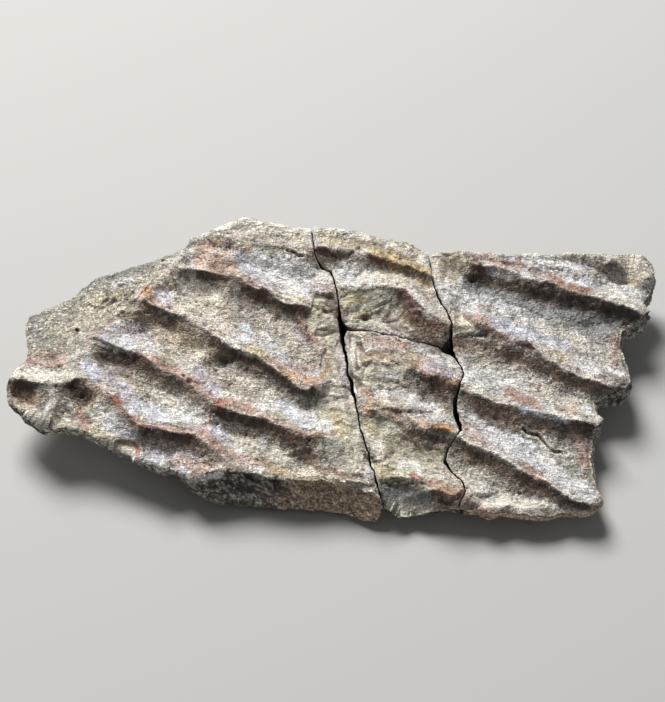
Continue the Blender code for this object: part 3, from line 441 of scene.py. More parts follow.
# Pores: small holes, as read on the crest level: x, y, radius and depth.
PORES = [
    (-39.3, 4.2, 0.4, 0.9), (-22.0, -3.8, 0.6, 0.7), (-22.9, -2.9, 0.3, 0.4), (-35.2, 9.6, 0.35, 0.5),
    (3.9, 7.4, 0.55, 0.9), (20.5, 14.5, 0.8, 0.6), (-1.8, 18.0, 0.3, 0.4), (-1.0, 18.2, 0.28, 0.4),
    (-0.3, 18.6, 0.25, 0.35), (-2.2, 19.2, 0.25, 0.35), (12.0, -1.8, 0.35, 0.5), (13.5, -2.9, 0.3, 0.5),
    (-37.7, -6.9, 0.5, 0.8), (-41.0, 7.6, 0.35, 0.4), (-32.4, 10.6, 0.35, 0.4), (-27.0, 16.6, 0.3, 0.3),
    (-13.6, -12.6, 0.35, 0.4), (-17.8, -10.8, 0.4, 0.4), (-9.2, -12.4, 0.35, 0.4),
    (-4.4, -12.9, 0.45, 0.5), (-16.8, -0.6, 0.45, 0.4), (24.0, 12.6, 0.25, 0.3), (38.6, 9.6, 0.3, 0.4),
    (35.2, -22.2, 0.3, 0.3), (17.9, 16.6, 0.22, 0.25), (10.4, -19.0, 0.4, 0.5), (4.6, -15.8, 0.4, 0.5),
]

# Bone colours. Shadow, umber, brown and maroon also serve as painted shade in walls, pits and cracks, and
# ivory and pale as painted light on slopes, crests and rims.
COLOURS = {
    "cream": (0.71, 0.65, 0.53), "ivory": (0.82, 0.78, 0.69), "pale": (0.83, 0.83, 0.83),
    "blue": (0.65, 0.69, 0.79), "lilac": (0.55, 0.49, 0.55), "pink": (0.52, 0.35, 0.30),
    "peach": (0.62, 0.43, 0.33), "rust": (0.40, 0.22, 0.16), "orange": (0.60, 0.33, 0.15),
    "red": (0.40, 0.12, 0.08), "maroon": (0.17, 0.07, 0.06), "brown": (0.24, 0.16, 0.11),
    "umber": (0.13, 0.085, 0.06), "shadow": (0.05, 0.038, 0.03), "grey": (0.36, 0.34, 0.31),
    "slate": (0.25, 0.26, 0.26), "olive": (0.32, 0.30, 0.21), "tan": (0.52, 0.42, 0.29),
    "ochre": (0.52, 0.38, 0.17), "yellow": (0.66, 0.56, 0.32), "calcite": (0.56, 0.53, 0.38),
    "sage": (0.49, 0.49, 0.39), "mauve": (0.50, 0.36, 0.34),
}

# Stains that also smooth the fine specks below them.
CALM_STAINS = ("pale", "blue", "ivory", "calcite")

# Stains, as read on the crest level, painted in this order: colour, radius, strength and line.
# Shadow, umber and brown stains along walls, in pits and under lips are painted shade, and many ivory and
# pale stains on slopes, edges and rims are painted light.
STAINS = [
    # The tip with its two pits.
    ("cream", 2.2, 0.45, [(-47.2, -2.2), (-44.0, -1.2), (-40.0, -0.8), (-37.6, 0.6)]),
    ("pink", 1.6, 0.5, [(-46.0, -0.9), (-43.6, -0.2), (-41.2, -0.4)]),
    ("rust", 0.7, 0.5, [(-46.8, -0.4), (-45.4, -1.2), (-44.2, -1.8), (-42.8, -2.0), (-41.4, -1.6)]),
    ("ivory", 0.9, 0.8, [(-47.6, -3.4), (-45.0, -3.9), (-42.4, -4.3), (-40.4, -3.6), (-38.6, -2.8)]),
    ("ivory", 0.9, 0.6, [(-42.0, -5.6), (-41.6, -7.6), (-42.2, -9.2)]),
    ("umber", 1.0, 0.9, [(-47.4, -5.0), (-46.2, -4.7), (-44.8, -5.2)]),
    ("maroon", 1.0, 0.6, [(-47.7, -5.4), (-47.4, -6.4)]),
    ("tan", 1.3, 0.7, [(-45.6, -7.2), (-44.4, -7.0)]),
    ("ochre", 0.6, 0.5, [(-45.4, -8.1), (-44.6, -7.9)]),
    ("ivory", 1.0, 0.6, [(-46.6, -8.6), (-45.0, -9.6), (-43.8, -10.2)]),
    ("pale", 0.6, 0.8, [(-42.7, -8.6), (-42.9, -10.6)]),
    ("umber", 1.3, 0.9, [(-39.2, -4.9), (-37.6, -5.4), (-36.4, -6.2)]),
    ("shadow", 0.9, 0.9, [(-38.8, -5.6), (-37.6, -6.4)]),
    ("umber", 0.5, 0.8, [(-37.9, -6.6), (-36.6, -7.2), (-35.6, -7.8)]),
    ("cream", 1.5, 0.6, [(-36.4, -8.4), (-35.0, -9.4)]),
    ("pale", 1.7, 0.7, [(-34.4, -9.6), (-32.6, -11.4), (-31.0, -12.4), (-29.8, -12.9)]),
    ("blue", 1.0, 0.45, [(-33.2, -11.6), (-31.2, -13.0)]),
    ("sage", 1.3, 0.5, [(-41.4, -10.4), (-39.0, -10.6), (-37.2, -11.4)]),
    ("red", 0.5, 0.6, [(-38.2, -9.2), (-37.4, -10.4), (-36.8, -11.6)]),
    ("pink", 1.0, 0.6, [(-38.2, -10.4), (-36.8, -11.6)]),
    ("yellow", 0.8, 0.5, [(-35.6, -12.2), (-34.0, -13.4), (-33.0, -14.6)]),
    ("cream", 0.9, 0.5, [(-35.2, -11.4), (-33.6, -12.8), (-31.8, -13.6)]),
    ("umber", 0.3, 0.8, [(-33.8, -14.7), (-32.8, -14.1), (-31.6, -13.8), (-29.6, -14.0)]),
    ("yellow", 0.7, 0.8, [(-33.2, -15.4), (-32.4, -15.6)]),
    ("tan", 1.2, 0.6, [(-31.4, -15.2), (-30.4, -16.6)]),
    ("red", 0.35, 0.8, [(-29.8, -14.3), (-29.0, -15.4), (-28.4, -16.6), (-28.0, -17.5)]),
    # First ridge on the left, with painted shade on the steep wall in front of it.
    ("blue", 1.1, 0.8, [(-37.2, -1.4), (-36.2, -2.4), (-35.8, -3.6)]),
    ("pink", 0.8, 0.6, [(-36.6, -4.6), (-34.6, -5.8), (-32.6, -7.6), (-30.6, -9.6), (-29.0, -10.8)]),
    ("red", 0.4, 0.85, [(-32.9, -6.8), (-32.2, -7.6), (-31.6, -7.4)]),
    ("rust", 0.5, 0.6, [(-31.6, -8.6), (-30.4, -9.8), (-29.4, -10.4)]),
    ("pink", 0.9, 0.7, [(-28.6, -10.9), (-26.4, -11.4), (-24.0, -11.6), (-21.4, -12.2), (-19.8, -12.6)]),
    ("rust", 0.5, 0.5, [(-28.0, -11.4), (-25.6, -11.8)]),
    ("pink", 1.0, 0.7, [(-19.6, -11.0), (-18.6, -12.8), (-17.6, -14.2), (-16.2, -15.4)]),
    ("rust", 0.5, 0.5, [(-18.6, -13.4), (-17.2, -15.2)]),
    ("umber", 0.7, 0.9, [(-28.6, -12.0), (-26.4, -12.4), (-23.6, -12.9), (-21.2, -13.4)]),
    ("brown", 1.3, 0.5, [(-27.6, -13.6), (-23.0, -14.4), (-20.0, -15.0), (-18.4, -16.4)]),
    ("lilac", 1.4, 0.5, [(-26.6, -15.4), (-24.0, -15.8), (-20.6, -16.4)]),
    ("blue", 0.8, 0.5, [(-27.4, -16.4), (-25.8, -16.8)]),
    ("pink", 1.6, 0.6, [(-22.6, -17.6), (-21.0, -18.2), (-19.2, -18.0)]),
    ("ivory", 0.7, 0.7, [(-22.4, -19.0), (-21.2, -19.4)]),
    ("maroon", 0.6, 0.7, [(-24.6, -17.4), (-23.6, -18.6), (-22.6, -19.8)]),
    # Groove between the first and the second ridge.
    ("olive", 1.4, 0.35, [(-33.0, -2.6), (-29.0, -4.4), (-25.0, -6.4)]),
    ("lilac", 1.3, 0.5, [(-34.0, -3.0), (-32.0, -5.0), (-30.0, -7.4)]),
    ("blue", 1.3, 0.65, [(-29.6, -8.2), (-28.0, -8.8), (-26.4, -9.4)]),
    ("pale", 1.5, 0.7, [(-25.0, -9.4), (-23.0, -9.2), (-21.2, -9.0)]),
    ("ivory", 1.3, 0.5, [(-26.6, -6.6), (-23.4, -7.4), (-20.8, -7.6)]),
    # Second ridge.
    ("blue", 0.9, 0.85, [(-34.9, 2.9), (-33.0, 2.3), (-31.0, 1.6)]),
    ("pale", 0.7, 0.8, [(-34.2, 2.5), (-31.6, 1.6), (-29.6, 0.9)]),
    ("pink", 0.9, 0.75, [(-30.0, 0.5), (-28.0, -0.2), (-26.0, -1.2), (-24.0, -2.4), (-21.6, -4.2),
                         (-19.0, -6.0)]),
    ("peach", 0.7, 0.6, [(-28.0, -0.4), (-26.6, -0.9)]),
    ("rust", 0.5, 0.5, [(-27.2, -0.9), (-25.4, -1.9)]),
    ("maroon", 0.6, 0.6, [(-21.4, -3.2), (-20.4, -4.2)]),
    ("red", 0.7, 0.75, [(-18.1, -6.9), (-16.9, -7.6)]),
    ("peach", 0.9, 0.7, [(-16.2, -7.0), (-14.2, -7.4), (-13.0, -8.0)]),
    ("rust", 0.6, 0.5, [(-15.0, -7.8), (-12.6, -8.6), (-10.6, -9.0)]),
    ("cream", 0.8, 0.6, [(-11.6, -8.9), (-9.0, -9.2), (-7.6, -9.9)]),
    ("pink", 0.6, 0.6, [(-11.0, -9.6), (-8.4, -10.4), (-6.4, -11.4)]),
    ("rust", 0.4, 0.7, [(-6.2, -11.6), (-4.2, -12.2), (-1.6, -12.1), (0.4, -11.7)]),
    ("pale", 1.0, 0.8, [(-7.4, -8.8), (-5.6, -9.6), (-3.8, -10.4), (-2.0, -10.9)]),
    ("blue", 0.7, 0.6, [(-6.6, -9.8), (-5.2, -10.6)]),
    ("umber", 0.8, 0.9, [(-35.6, 0.4), (-33.4, -0.2), (-31.0, -1.2)]),
    ("brown", 0.8, 0.7, [(-30.6, -1.3), (-27.4, -2.9), (-24.4, -4.6), (-21.8, -5.9), (-20.0, -7.4)]),
    ("umber", 0.8, 0.9, [(-18.4, -9.2), (-15.6, -9.6), (-12.6, -10.6), (-10.0, -11.4)]),
    ("brown", 0.9, 0.7, [(-9.6, -11.6), (-7.4, -12.6), (-5.6, -13.4)]),
    ("lilac", 1.0, 0.4, [(-18.0, -10.4), (-17.4, -12.0)]),
    ("blue", 0.9, 0.5, [(-18.2, -11.6), (-16.6, -12.6)]),
    ("maroon", 1.4, 0.5, [(-7.6, -13.0), (-5.6, -14.6), (-4.4, -16.2)]),
    ("shadow", 0.8, 0.6, [(-8.2, -13.8), (-6.8, -14.4)]),
    ("ivory", 1.3, 0.5, [(-15.6, -13.4), (-13.2, -14.6), (-10.6, -15.4), (-8.8, -16.0)]),
    ("peach", 0.9, 0.5, [(-15.6, -15.4), (-13.0, -16.4), (-10.4, -17.0)]),
    ("ochre", 0.9, 0.5, [(-9.6, -17.6), (-8.0, -18.2), (-6.4, -18.6)]),
    ("brown", 1.0, 0.6, [(-4.8, -15.4), (-3.6, -16.6)]),
    # Groove between the second and the third ridge.
    ("lilac", 1.3, 0.5, [(-31.2, 5.2), (-29.4, 3.6)]),
    ("tan", 1.6, 0.45, [(-27.0, 4.2), (-24.6, 2.8), (-22.6, 1.4)]),
    ("cream", 1.6, 0.5, [(-24.6, 1.0), (-22.0, 0.2)]),
    ("lilac", 1.1, 0.6, [(-20.8, -2.2), (-19.4, -3.6), (-18.6, -4.8)]),
    ("cream", 1.6, 0.5, [(-17.0, -3.6), (-13.6, -5.0), (-10.4, -5.8), (-7.0, -6.8)]),
    ("ivory", 1.0, 0.5, [(-15.0, -3.0), (-12.0, -4.2)]),
    ("pale", 1.3, 0.6, [(-9.6, -7.2), (-6.6, -8.2), (-4.2, -8.9)]),
    ("blue", 0.9, 0.5, [(-8.4, -7.8), (-6.4, -8.6)]),
    # Third ridge.
    ("peach", 1.4, 1.0, [(-29.2, 11.2), (-28.2, 10.8), (-27.2, 10.2)]),
    ("orange", 0.8, 0.6, [(-28.9, 11.2), (-28.0, 10.8)]),
    ("ivory", 0.7, 0.6, [(-30.6, 8.6), (-29.6, 9.2)]),
    ("brown", 0.9, 0.8, [(-29.8, 8.5), (-28.4, 8.5)]),
    ("ivory", 0.25, 0.8, [(-30.6, 7.8), (-29.4, 7.6), (-28.0, 7.9)]),
    ("blue", 1.2, 0.7, [(-27.2, 11.2), (-26.0, 10.6)]),
    ("peach", 0.8, 0.5, [(-27.4, 12.2), (-25.2, 12.0)]),
    ("cream", 1.5, 0.7, [(-24.0, 9.6), (-21.4, 8.0), (-18.8, 6.8), (-17.0, 5.4)]),
    ("ivory", 0.9, 0.6, [(-20.4, 7.6), (-18.4, 6.6)]),
    ("umber", 0.8, 0.9, [(-32.6, 7.3), (-30.4, 7.0), (-27.6, 6.6), (-25.2, 5.6), (-23.8, 4.6)]),
    ("maroon", 0.7, 0.4, [(-28.4, 5.6), (-26.2, 5.0)]),
    ("shadow", 1.0, 0.75, [(-19.2, 1.7), (-18.0, 0.8), (-16.6, 0.2)]),
    ("umber", 0.6, 0.85, [(-16.4, 0.6), (-13.6, -0.4), (-11.0, -1.4)]),
    ("umber", 0.5, 0.85, [(-10.6, -1.7), (-8.8, -3.0), (-7.4, -4.2), (-6.0, -5.4), (-4.0, -6.0)]),
    ("yellow", 0.9, 0.75, [(-13.2, 1.4), (-12.0, 0.9), (-10.8, 0.3)]),
    ("blue", 0.9, 0.7, [(-14.2, 5.2), (-13.6, 4.2)]),
    ("pale", 1.1, 0.55, [(-11.4, 3.6), (-9.8, 2.4), (-8.6, 1.0)]),
    ("orange", 0.6, 0.7, [(-8.4, -1.8), (-7.2, -2.4), (-6.4, -3.0)]),
    ("orange", 0.6, 0.7, [(-4.6, -3.3), (-3.0, -3.0), (-2.1, -2.0)]),
    ("rust", 0.4, 0.6, [(-5.8, -3.9), (-4.0, -4.3), (-2.4, -3.6)]),
    ("pink", 0.9, 0.5, [(-10.4, -0.4), (-8.6, -1.2), (-6.4, -1.6), (-4.0, -1.4)]),
    ("cream", 1.4, 0.4, [(-8.4, 4.6), (-6.8, 2.6), (-5.0, 0.4)]),
    ("maroon", 0.8, 0.6, [(-6.4, 6.2), (-5.4, 4.8), (-4.6, 3.4)]),
    ("lilac", 1.0, 0.5, [(-7.0, 5.0), (-5.6, 3.2)]),
    ("rust", 0.5, 0.6, [(-5.6, 6.8), (-4.6, 4.4), (-3.6, 3.2), (-2.4, 2.4), (-1.6, 0.6), (-1.8, -0.8)]),
    # Rear groove and ridge of the left fragment.
    ("umber", 0.6, 0.75, [(-24.0, 14.0), (-21.6, 14.2), (-19.4, 14.0), (-17.2, 13.6)]),
    ("brown", 0.6, 0.7, [(-19.4, 14.9), (-18.0, 14.3), (-16.4, 14.2)]),
    ("tan", 1.6, 0.45, [(-21.0, 11.4), (-18.6, 10.2), (-16.6, 8.6)]),
    ("sage", 1.3, 0.4, [(-16.4, 11.8), (-14.6, 10.6)]),
    ("umber", 0.8, 0.85, [(-14.2, 11.6), (-12.0, 10.4), (-9.6, 9.4), (-7.4, 8.7)]),
    ("maroon", 0.7, 0.6, [(-13.4, 10.9), (-11.2, 10.0)]),
    ("brown", 0.8, 0.7, [(-7.4, 8.4), (-5.6, 7.6)]),
    ("pink", 0.8, 0.6, [(-15.6, 14.8), (-14.0, 13.6), (-12.4, 12.6), (-10.6, 11.6)]),
    ("rust", 0.4, 0.5, [(-13.4, 13.2), (-11.8, 12.0)]),
    ("lilac", 1.0, 0.7, [(-14.2, 15.6), (-12.4, 14.2), (-10.4, 12.8)]),
    ("peach", 2.0, 0.8, [(-20.6, 17.6), (-18.6, 16.6), (-16.8, 16.6)]),
    ("rust", 0.8, 0.35, [(-20.0, 16.0), (-18.0, 15.4)]),
    ("pink", 0.9, 0.6, [(-21.6, 19.2), (-20.4, 20.0)]),
    ("brown", 1.1, 0.7, [(-19.0, 20.2), (-17.8, 20.6), (-16.9, 20.0)]),
    ("umber", 0.3, 0.7, [(-19.0, 20.9), (-18.0, 21.2), (-17.0, 21.0), (-16.6, 20.2)]),
    ("blue", 1.4, 0.6, [(-15.4, 18.0), (-13.6, 16.2)]),
    ("sage", 1.2, 0.5, [(-13.0, 20.4), (-11.2, 19.8), (-9.4, 19.6)]),
    ("brown", 0.8, 0.7, [(-8.2, 18.6), (-6.8, 17.8), (-5.4, 17.6)]),
    ("umber", 0.5, 0.7, [(-8.6, 19.4), (-7.2, 18.9), (-6.2, 18.3)]),
    ("pale", 1.9, 0.9, [(-11.4, 15.6), (-9.2, 14.6), (-7.2, 14.2), (-6.0, 13.0)]),
    ("pale", 1.2, 0.6, [(-12.6, 17.6), (-9.4, 17.0), (-6.6, 16.4)]),
    ("cream", 1.7, 0.8, [(-17.4, 23.4), (-14.4, 24.0), (-10.4, 22.8), (-6.4, 21.8)]),
    ("ivory", 0.8, 0.6, [(-14.8, 24.8), (-11.4, 24.2), (-7.4, 23.2)]),
    ("brown", 0.7, 0.45, [(-13.6, 21.4), (-11.6, 21.4), (-9.8, 21.2)]),
    ("pink", 0.9, 0.6, [(-4.9, 14.8), (-3.6, 13.2), (-2.2, 12.4)]),
    ("lilac", 0.8, 0.6, [(-4.4, 13.2), (-2.6, 11.6)]),
    ("ivory", 0.8, 0.5, [(-3.0, 15.4), (-1.8, 14.4)]),
    ("calcite", 1.3, 0.7, [(-3.0, 10.2), (-3.4, 8.0), (-2.6, 6.0), (-1.8, 4.6)]),
    ("brown", 0.3, 0.8, [(-3.7, 11.2), (-2.4, 11.0), (-1.2, 11.2)]),
    ("umber", 0.3, 0.8, [(-3.9, 9.4), (-3.2, 9.0), (-1.9, 9.3)]),
    ("umber", 0.3, 0.8, [(-3.6, 5.0), (-2.6, 5.0), (-1.6, 5.6)]),
    ("ivory", 0.4, 0.7, [(-3.2, 6.4), (-2.0, 6.8), (-1.2, 6.2)]),
    ("ivory", 0.4, 0.7, [(-3.0, 10.4), (-1.8, 9.9), (-1.0, 10.3)]),
    # Along the main crack, left side.
    ("grey", 1.2, 0.6, [(-2.2, -3.6), (-1.4, -6.0), (-0.8, -8.0)]),
    ("lilac", 1.0, 0.5, [(0.0, 1.8), (0.4, -1.0), (0.6, -3.2), (1.0, -5.4)]),
    ("ivory", 0.7, 0.6, [(-3.0, -4.4), (-1.8, -4.9), (-0.6, -5.2)]),
    ("yellow", 1.2, 0.5, [(-0.6, -8.8), (0.2, -10.6), (0.8, -12.0)]),
    ("ivory", 0.6, 0.6, [(-1.0, -7.2), (0.4, -7.8), (1.4, -7.4)]),
    ("grey", 1.4, 0.5, [(-1.0, -13.4), (0.0, -15.4), (0.6, -17.0)]),
    ("sage", 1.0, 0.4, [(-2.4, -12.8), (-2.0, -15.0)]),
    ("ivory", 0.5, 0.7, [(1.6, -12.2), (2.4, -14.2), (2.6, -16.4), (2.5, -17.8)]),
    ("pale", 0.5, 0.9, [(3.5, -18.6), (3.8, -18.6)]),
    ("rust", 0.5, 0.6, [(-3.4, -17.6), (-1.6, -18.0), (0.6, -18.8), (1.6, -19.0)]),
    ("umber", 0.45, 0.9, [(-2.4, -18.9), (-0.4, -19.4), (1.8, -19.9), (4.0, -20.4)]),
    # Broken front face of the left fragment, with painted shade along and below its top edge.
    ("umber", 2.6, 0.55, [(-19.6, -20.8), (-14.6, -21.6), (-9.0, -22.0), (-6.0, -22.2)]),
    ("shadow", 0.8, 1.2, [(-20.4, -19.4), (-17.6, -18.6), (-14.0, -19.2), (-10.6, -20.1), (-6.6, -20.2),
                          (-4.0, -21.3), (-1.6, -22.4), (0.6, -24.2)]),
    ("shadow", 0.5, 0.9, [(-16.0, -20.6), (-12.6, -20.9), (-9.6, -21.4)]),
    ("grey", 0.4, 0.7, [(-17.6, -20.2), (-15.4, -20.0), (-13.0, -20.6)]),
    ("grey", 0.35, 0.7, [(-18.0, -21.6), (-14.6, -22.0), (-11.0, -21.8), (-8.0, -22.2)]),
    ("lilac", 0.7, 0.7, [(-14.6, -22.6), (-10.0, -22.9), (-6.0, -23.4), (-2.6, -23.8)]),
    ("maroon", 0.5, 0.6, [(-12.4, -22.0), (-8.6, -22.4), (-5.6, -23.0)]),
    ("ivory", 0.4, 0.8, [(-17.0, -22.8), (-13.0, -23.6), (-8.0, -23.9), (-4.0, -24.2)]),
    ("cream", 1.7, 1.0, [(-3.6, -19.6), (-1.4, -20.4), (1.0, -21.4), (3.0, -22.8)]),
    ("tan", 0.9, 0.7, [(-6.6, -18.9), (-4.0, -19.4), (-1.8, -20.2)]),
    ("brown", 0.7, 0.7, [(1.4, -20.6), (3.0, -21.8), (4.4, -22.6)]),
    ("pale", 0.8, 0.8, [(2.2, -24.7), (3.6, -25.2), (4.6, -25.0)]),
    ("ivory", 0.4, 0.7, [(0.6, -20.0), (2.4, -20.5), (4.4, -20.9)]),
    # Upper middle fragment.
    ("ivory", 1.6, 0.5, [(-2.6, 22.6), (1.2, 21.8), (4.0, 21.6)]),
    ("tan", 1.1, 0.5, [(-2.2, 20.9), (1.0, 20.9), (4.4, 20.2)]),
    ("maroon", 0.8, 0.7, [(-2.9, 19.3), (-1.4, 18.4), (0.2, 17.9)]),
    ("umber", 0.4, 0.7, [(-2.4, 18.8), (-1.2, 18.1), (-0.2, 18.3)]),
    ("grey", 1.2, 0.4, [(1.4, 18.8), (3.6, 18.2)]),
    ("ivory", 0.4, 0.7, [(2.2, 19.6), (3.0, 18.8), (3.9, 19.5)]),
    ("olive", 0.9, 0.5, [(5.0, 20.4), (7.0, 19.6), (9.0, 18.8)]),
    ("ochre", 1.2, 0.7, [(6.0, 19.2), (8.6, 18.0), (11.0, 17.0), (12.8, 16.0)]),
    ("maroon", 0.9, 0.9, [(5.6, 17.8), (6.8, 17.4), (8.0, 16.8)]),
    ("umber", 0.4, 0.8, [(6.6, 18.6), (7.4, 17.8)]),
    ("maroon", 0.6, 0.6, [(7.4, 16.2), (8.4, 15.4)]),
    ("umber", 0.7, 0.85, [(10.2, 16.4), (11.4, 15.8), (12.4, 15.2)]),
    ("ochre", 0.9, 0.7, [(8.4, 15.8), (9.6, 14.6), (10.6, 13.8)]),
    ("cream", 1.6, 0.5, [(8.2, 21.0), (10.6, 20.0), (12.6, 18.6)]),
    ("tan", 0.9, 0.4, [(10.0, 21.0), (12.2, 20.0)]),
    ("pale", 1.4, 0.85, [(0.2, 16.0), (2.2, 15.6), (4.4, 15.0)]),
    ("pale", 1.0, 0.7, [(0.4, 13.8), (3.0, 13.8), (5.6, 13.6)]),
    ("peach", 1.0, 0.6, [(5.4, 14.8), (7.2, 14.8), (8.8, 14.0)]),
    ("rust", 0.3, 0.6, [(6.2, 14.6), (7.8, 14.2)]),
    ("sage", 2.4, 0.65, [(2.4, 10.4), (5.4, 10.2), (8.0, 10.4)]),
    ("grey", 1.6, 0.3, [(5.6, 10.8), (8.0, 11.4)]),
    ("grey", 1.4, 0.3, [(4.6, 7.2), (7.4, 7.6)]),
    ("yellow", 0.9, 0.7, [(1.2, 10.3), (2.4, 10.4), (3.3, 10.2)]),
    ("yellow", 0.6, 0.6, [(3.6, 8.2), (2.4, 7.2)]),
    ("ivory", 0.22, 0.9, [(4.4, 8.0), (5.8, 8.8), (7.3, 9.6)]),
    ("ivory", 0.6, 0.7, [(1.6, 9.2), (3.0, 9.4)]),
    ("umber", 0.5, 0.8, [(3.6, 7.5), (4.6, 7.4)]),
    ("sage", 0.8, 0.6, [(0.2, 6.9), (3.0, 6.2), (6.6, 5.6)]),
    ("pale", 1.4, 0.85, [(11.4, 13.6), (12.6, 11.6), (14.0, 9.6), (15.2, 8.2)]),
    ("pink", 0.5, 0.7, [(9.8, 12.8), (10.8, 11.2), (11.8, 9.6), (13.2, 8.2), (14.8, 7.0)]),
    ("maroon", 1.3, 0.75, [(9.4, 11.4), (10.4, 9.4), (11.4, 7.8), (13.0, 6.2)]),
    ("brown", 1.2, 0.8, [(10.2, 7.8), (12.0, 6.2), (14.0, 5.0)]),
    ("peach", 0.7, 0.7, [(15.0, 7.8), (16.2, 7.0), (16.6, 5.9)]),
    ("rust", 0.6, 0.6, [(13.8, 6.6), (15.6, 5.8)]),
    # Lower middle fragment.
    ("lilac", 1.0, 0.4, [(4.4, 5.0), (8.0, 4.4), (11.4, 3.4)]),
    ("pink", 1.2, 0.5, [(4.4, 3.6), (7.0, 3.2), (9.4, 2.2)]),
    ("peach", 0.7, 0.5, [(8.0, 3.6), (10.0, 3.0)]),
    ("ivory", 0.6, 0.7, [(2.2, 3.4), (2.3, 0.6), (2.5, -1.6)]),
    ("ochre", 0.6, 0.6, [(4.2, 1.2), (5.8, 1.4), (7.6, 0.9)]),
    ("tan", 0.6, 0.7, [(3.4, 0.3), (6.0, 0.7), (8.6, 0.1), (10.6, -0.6)]),
    ("umber", 0.5, 0.8, [(2.9, 2.9), (3.3, 2.0)]),
    ("calcite", 0.8, 0.6, [(4.4, -0.6), (6.4, -0.8)]),
    ("pale", 0.9, 0.5, [(6.0, -2.0), (8.2, -2.0), (10.0, -2.6)]),
    ("pale", 1.5, 0.6, [(12.6, 2.6), (14.6, 1.8), (16.0, 0.4)]),
    ("ochre", 0.9, 0.5, [(10.4, 1.2), (11.6, -0.2)]),
    ("pink", 0.9, 0.8, [(12.0, -0.2), (13.6, -0.9), (15.4, -2.0), (16.8, -3.2)]),
    ("lilac", 0.6, 0.7, [(13.0, -1.6), (14.6, -2.6), (15.8, -3.4)]),
    ("rust", 0.4, 0.8, [(11.8, -1.2), (13.4, -2.2), (15.0, -3.6), (16.4, -4.2)]),
    ("orange", 0.5, 0.7, [(16.2, -4.3), (16.9, -4.0)]),
    ("umber", 0.5, 0.8, [(11.4, -2.4), (13.0, -3.2), (15.0, -4.7)]),
    ("brown", 0.7, 0.7, [(3.4, -4.4), (4.8, -5.0)]),
    ("rust", 0.5, 0.7, [(3.6, -5.6), (4.8, -6.2), (5.8, -6.0)]),
    ("pale", 1.6, 0.7, [(6.2, -5.6), (8.6, -6.2), (11.0, -7.0), (13.4, -7.0)]),
    ("cream", 1.0, 0.6, [(4.0, -7.6), (6.4, -7.9)]),
    ("orange", 0.6, 0.5, [(3.8, -7.4), (4.4, -8.6)]),
    ("rust", 0.35, 0.6, [(6.4, -8.6), (8.4, -9.0), (10.4, -9.6)]),
    ("sage", 1.5, 0.6, [(5.4, -10.6), (7.4, -12.2), (9.2, -13.2)]),
    ("yellow", 0.9, 0.5, [(3.8, -10.2), (5.0, -12.0)]),
    ("ivory", 0.8, 0.6, [(4.4, -13.2), (6.0, -14.0)]),
    ("shadow", 0.5, 0.7, [(3.8, -15.4), (5.2, -16.2)]),
    ("peach", 0.7, 0.8, [(11.4, -9.9), (13.2, -10.6), (15.4, -11.0)]),
    ("orange", 0.5, 0.8, [(13.6, -10.2), (15.0, -10.5), (16.2, -11.0)]),
    ("ivory", 0.45, 0.7, [(11.4, -10.8), (13.6, -11.6), (16.2, -12.0)]),
    ("umber", 0.5, 0.8, [(10.4, -11.4), (12.6, -12.4), (15.6, -13.2)]),
    ("brown", 1.3, 0.5, [(9.6, -12.8), (12.2, -14.0), (14.6, -14.4)]),
    ("olive", 1.4, 0.5, [(8.6, -14.8), (12.0, -15.6), (15.2, -15.6)]),
    ("yellow", 0.9, 0.5, [(5.6, -17.2), (7.2, -17.8), (6.2, -18.8)]),
    ("pale", 0.9, 0.5, [(8.8, -16.8), (11.2, -17.2)]),
    ("calcite", 0.7, 0.8, [(8.6, -18.0), (9.6, -17.8)]),
    ("red", 0.5, 0.7, [(10.4, -18.4), (11.6, -18.8), (12.8, -19.2)]),
    ("cream", 1.4, 0.7, [(12.8, -18.2), (15.2, -19.0), (17.0, -19.8)]),
    ("orange", 0.9, 0.6, [(13.6, -19.8), (15.0, -20.6), (16.2, -20.8)]),
    ("slate", 1.8, 0.85, [(7.0, -21.2), (9.4, -21.4), (11.6, -22.2)]),
    ("umber", 0.5, 0.7, [(6.6, -20.2), (9.2, -20.0), (11.4, -20.2)]),
    ("sage", 0.8, 0.5, [(6.4, -23.4), (9.4, -23.6), (12.6, -23.8)]),
    ("maroon", 0.6, 0.7, [(14.2, -22.4), (15.6, -22.0), (16.8, -20.8)]),
    # Right fragment, first ridge and the groove behind it.
    ("cream", 1.9, 1.0, [(16.2, 18.4), (16.8, 16.4), (16.6, 14.8)]),
    ("olive", 0.9, 0.6, [(18.2, 18.4), (18.3, 16.8), (17.6, 15.2)]),
    ("tan", 0.7, 0.4, [(16.2, 17.4), (16.4, 15.4)]),
    ("ivory", 0.35, 0.8, [(17.0, 19.4), (18.6, 19.6), (19.4, 18.8), (19.8, 17.4), (19.4, 16.0)]),
    ("maroon", 1.0, 0.8, [(20.6, 17.6), (21.2, 16.2), (22.2, 15.2)]),
    ("umber", 0.6, 0.6, [(20.4, 15.6), (21.6, 14.8)]),
    ("rust", 0.7, 0.6, [(21.2, 18.8), (24.0, 18.2), (26.6, 17.6), (29.0, 17.2)]),
    ("rust", 0.6, 0.4, [(24.6, 17.4), (27.4, 16.6)]),
    ("lilac", 0.9, 0.6, [(23.0, 16.4), (25.4, 15.2)]),
    ("pale", 0.6, 0.7, [(23.4, 15.4), (26.0, 15.2), (28.4, 15.4)]),
    ("brown", 0.9, 0.75, [(24.4, 14.2), (27.0, 13.4), (30.0, 12.6), (33.0, 11.4)]),
    ("pink", 0.9, 0.6, [(29.6, 16.4), (31.6, 15.4), (33.4, 14.6)]),
    ("peach", 1.0, 0.9, [(33.9, 14.0), (35.6, 13.2), (37.4, 12.6)]),
    ("rust", 0.6, 0.6, [(32.6, 15.2), (34.4, 13.8), (38.4, 12.8)]),
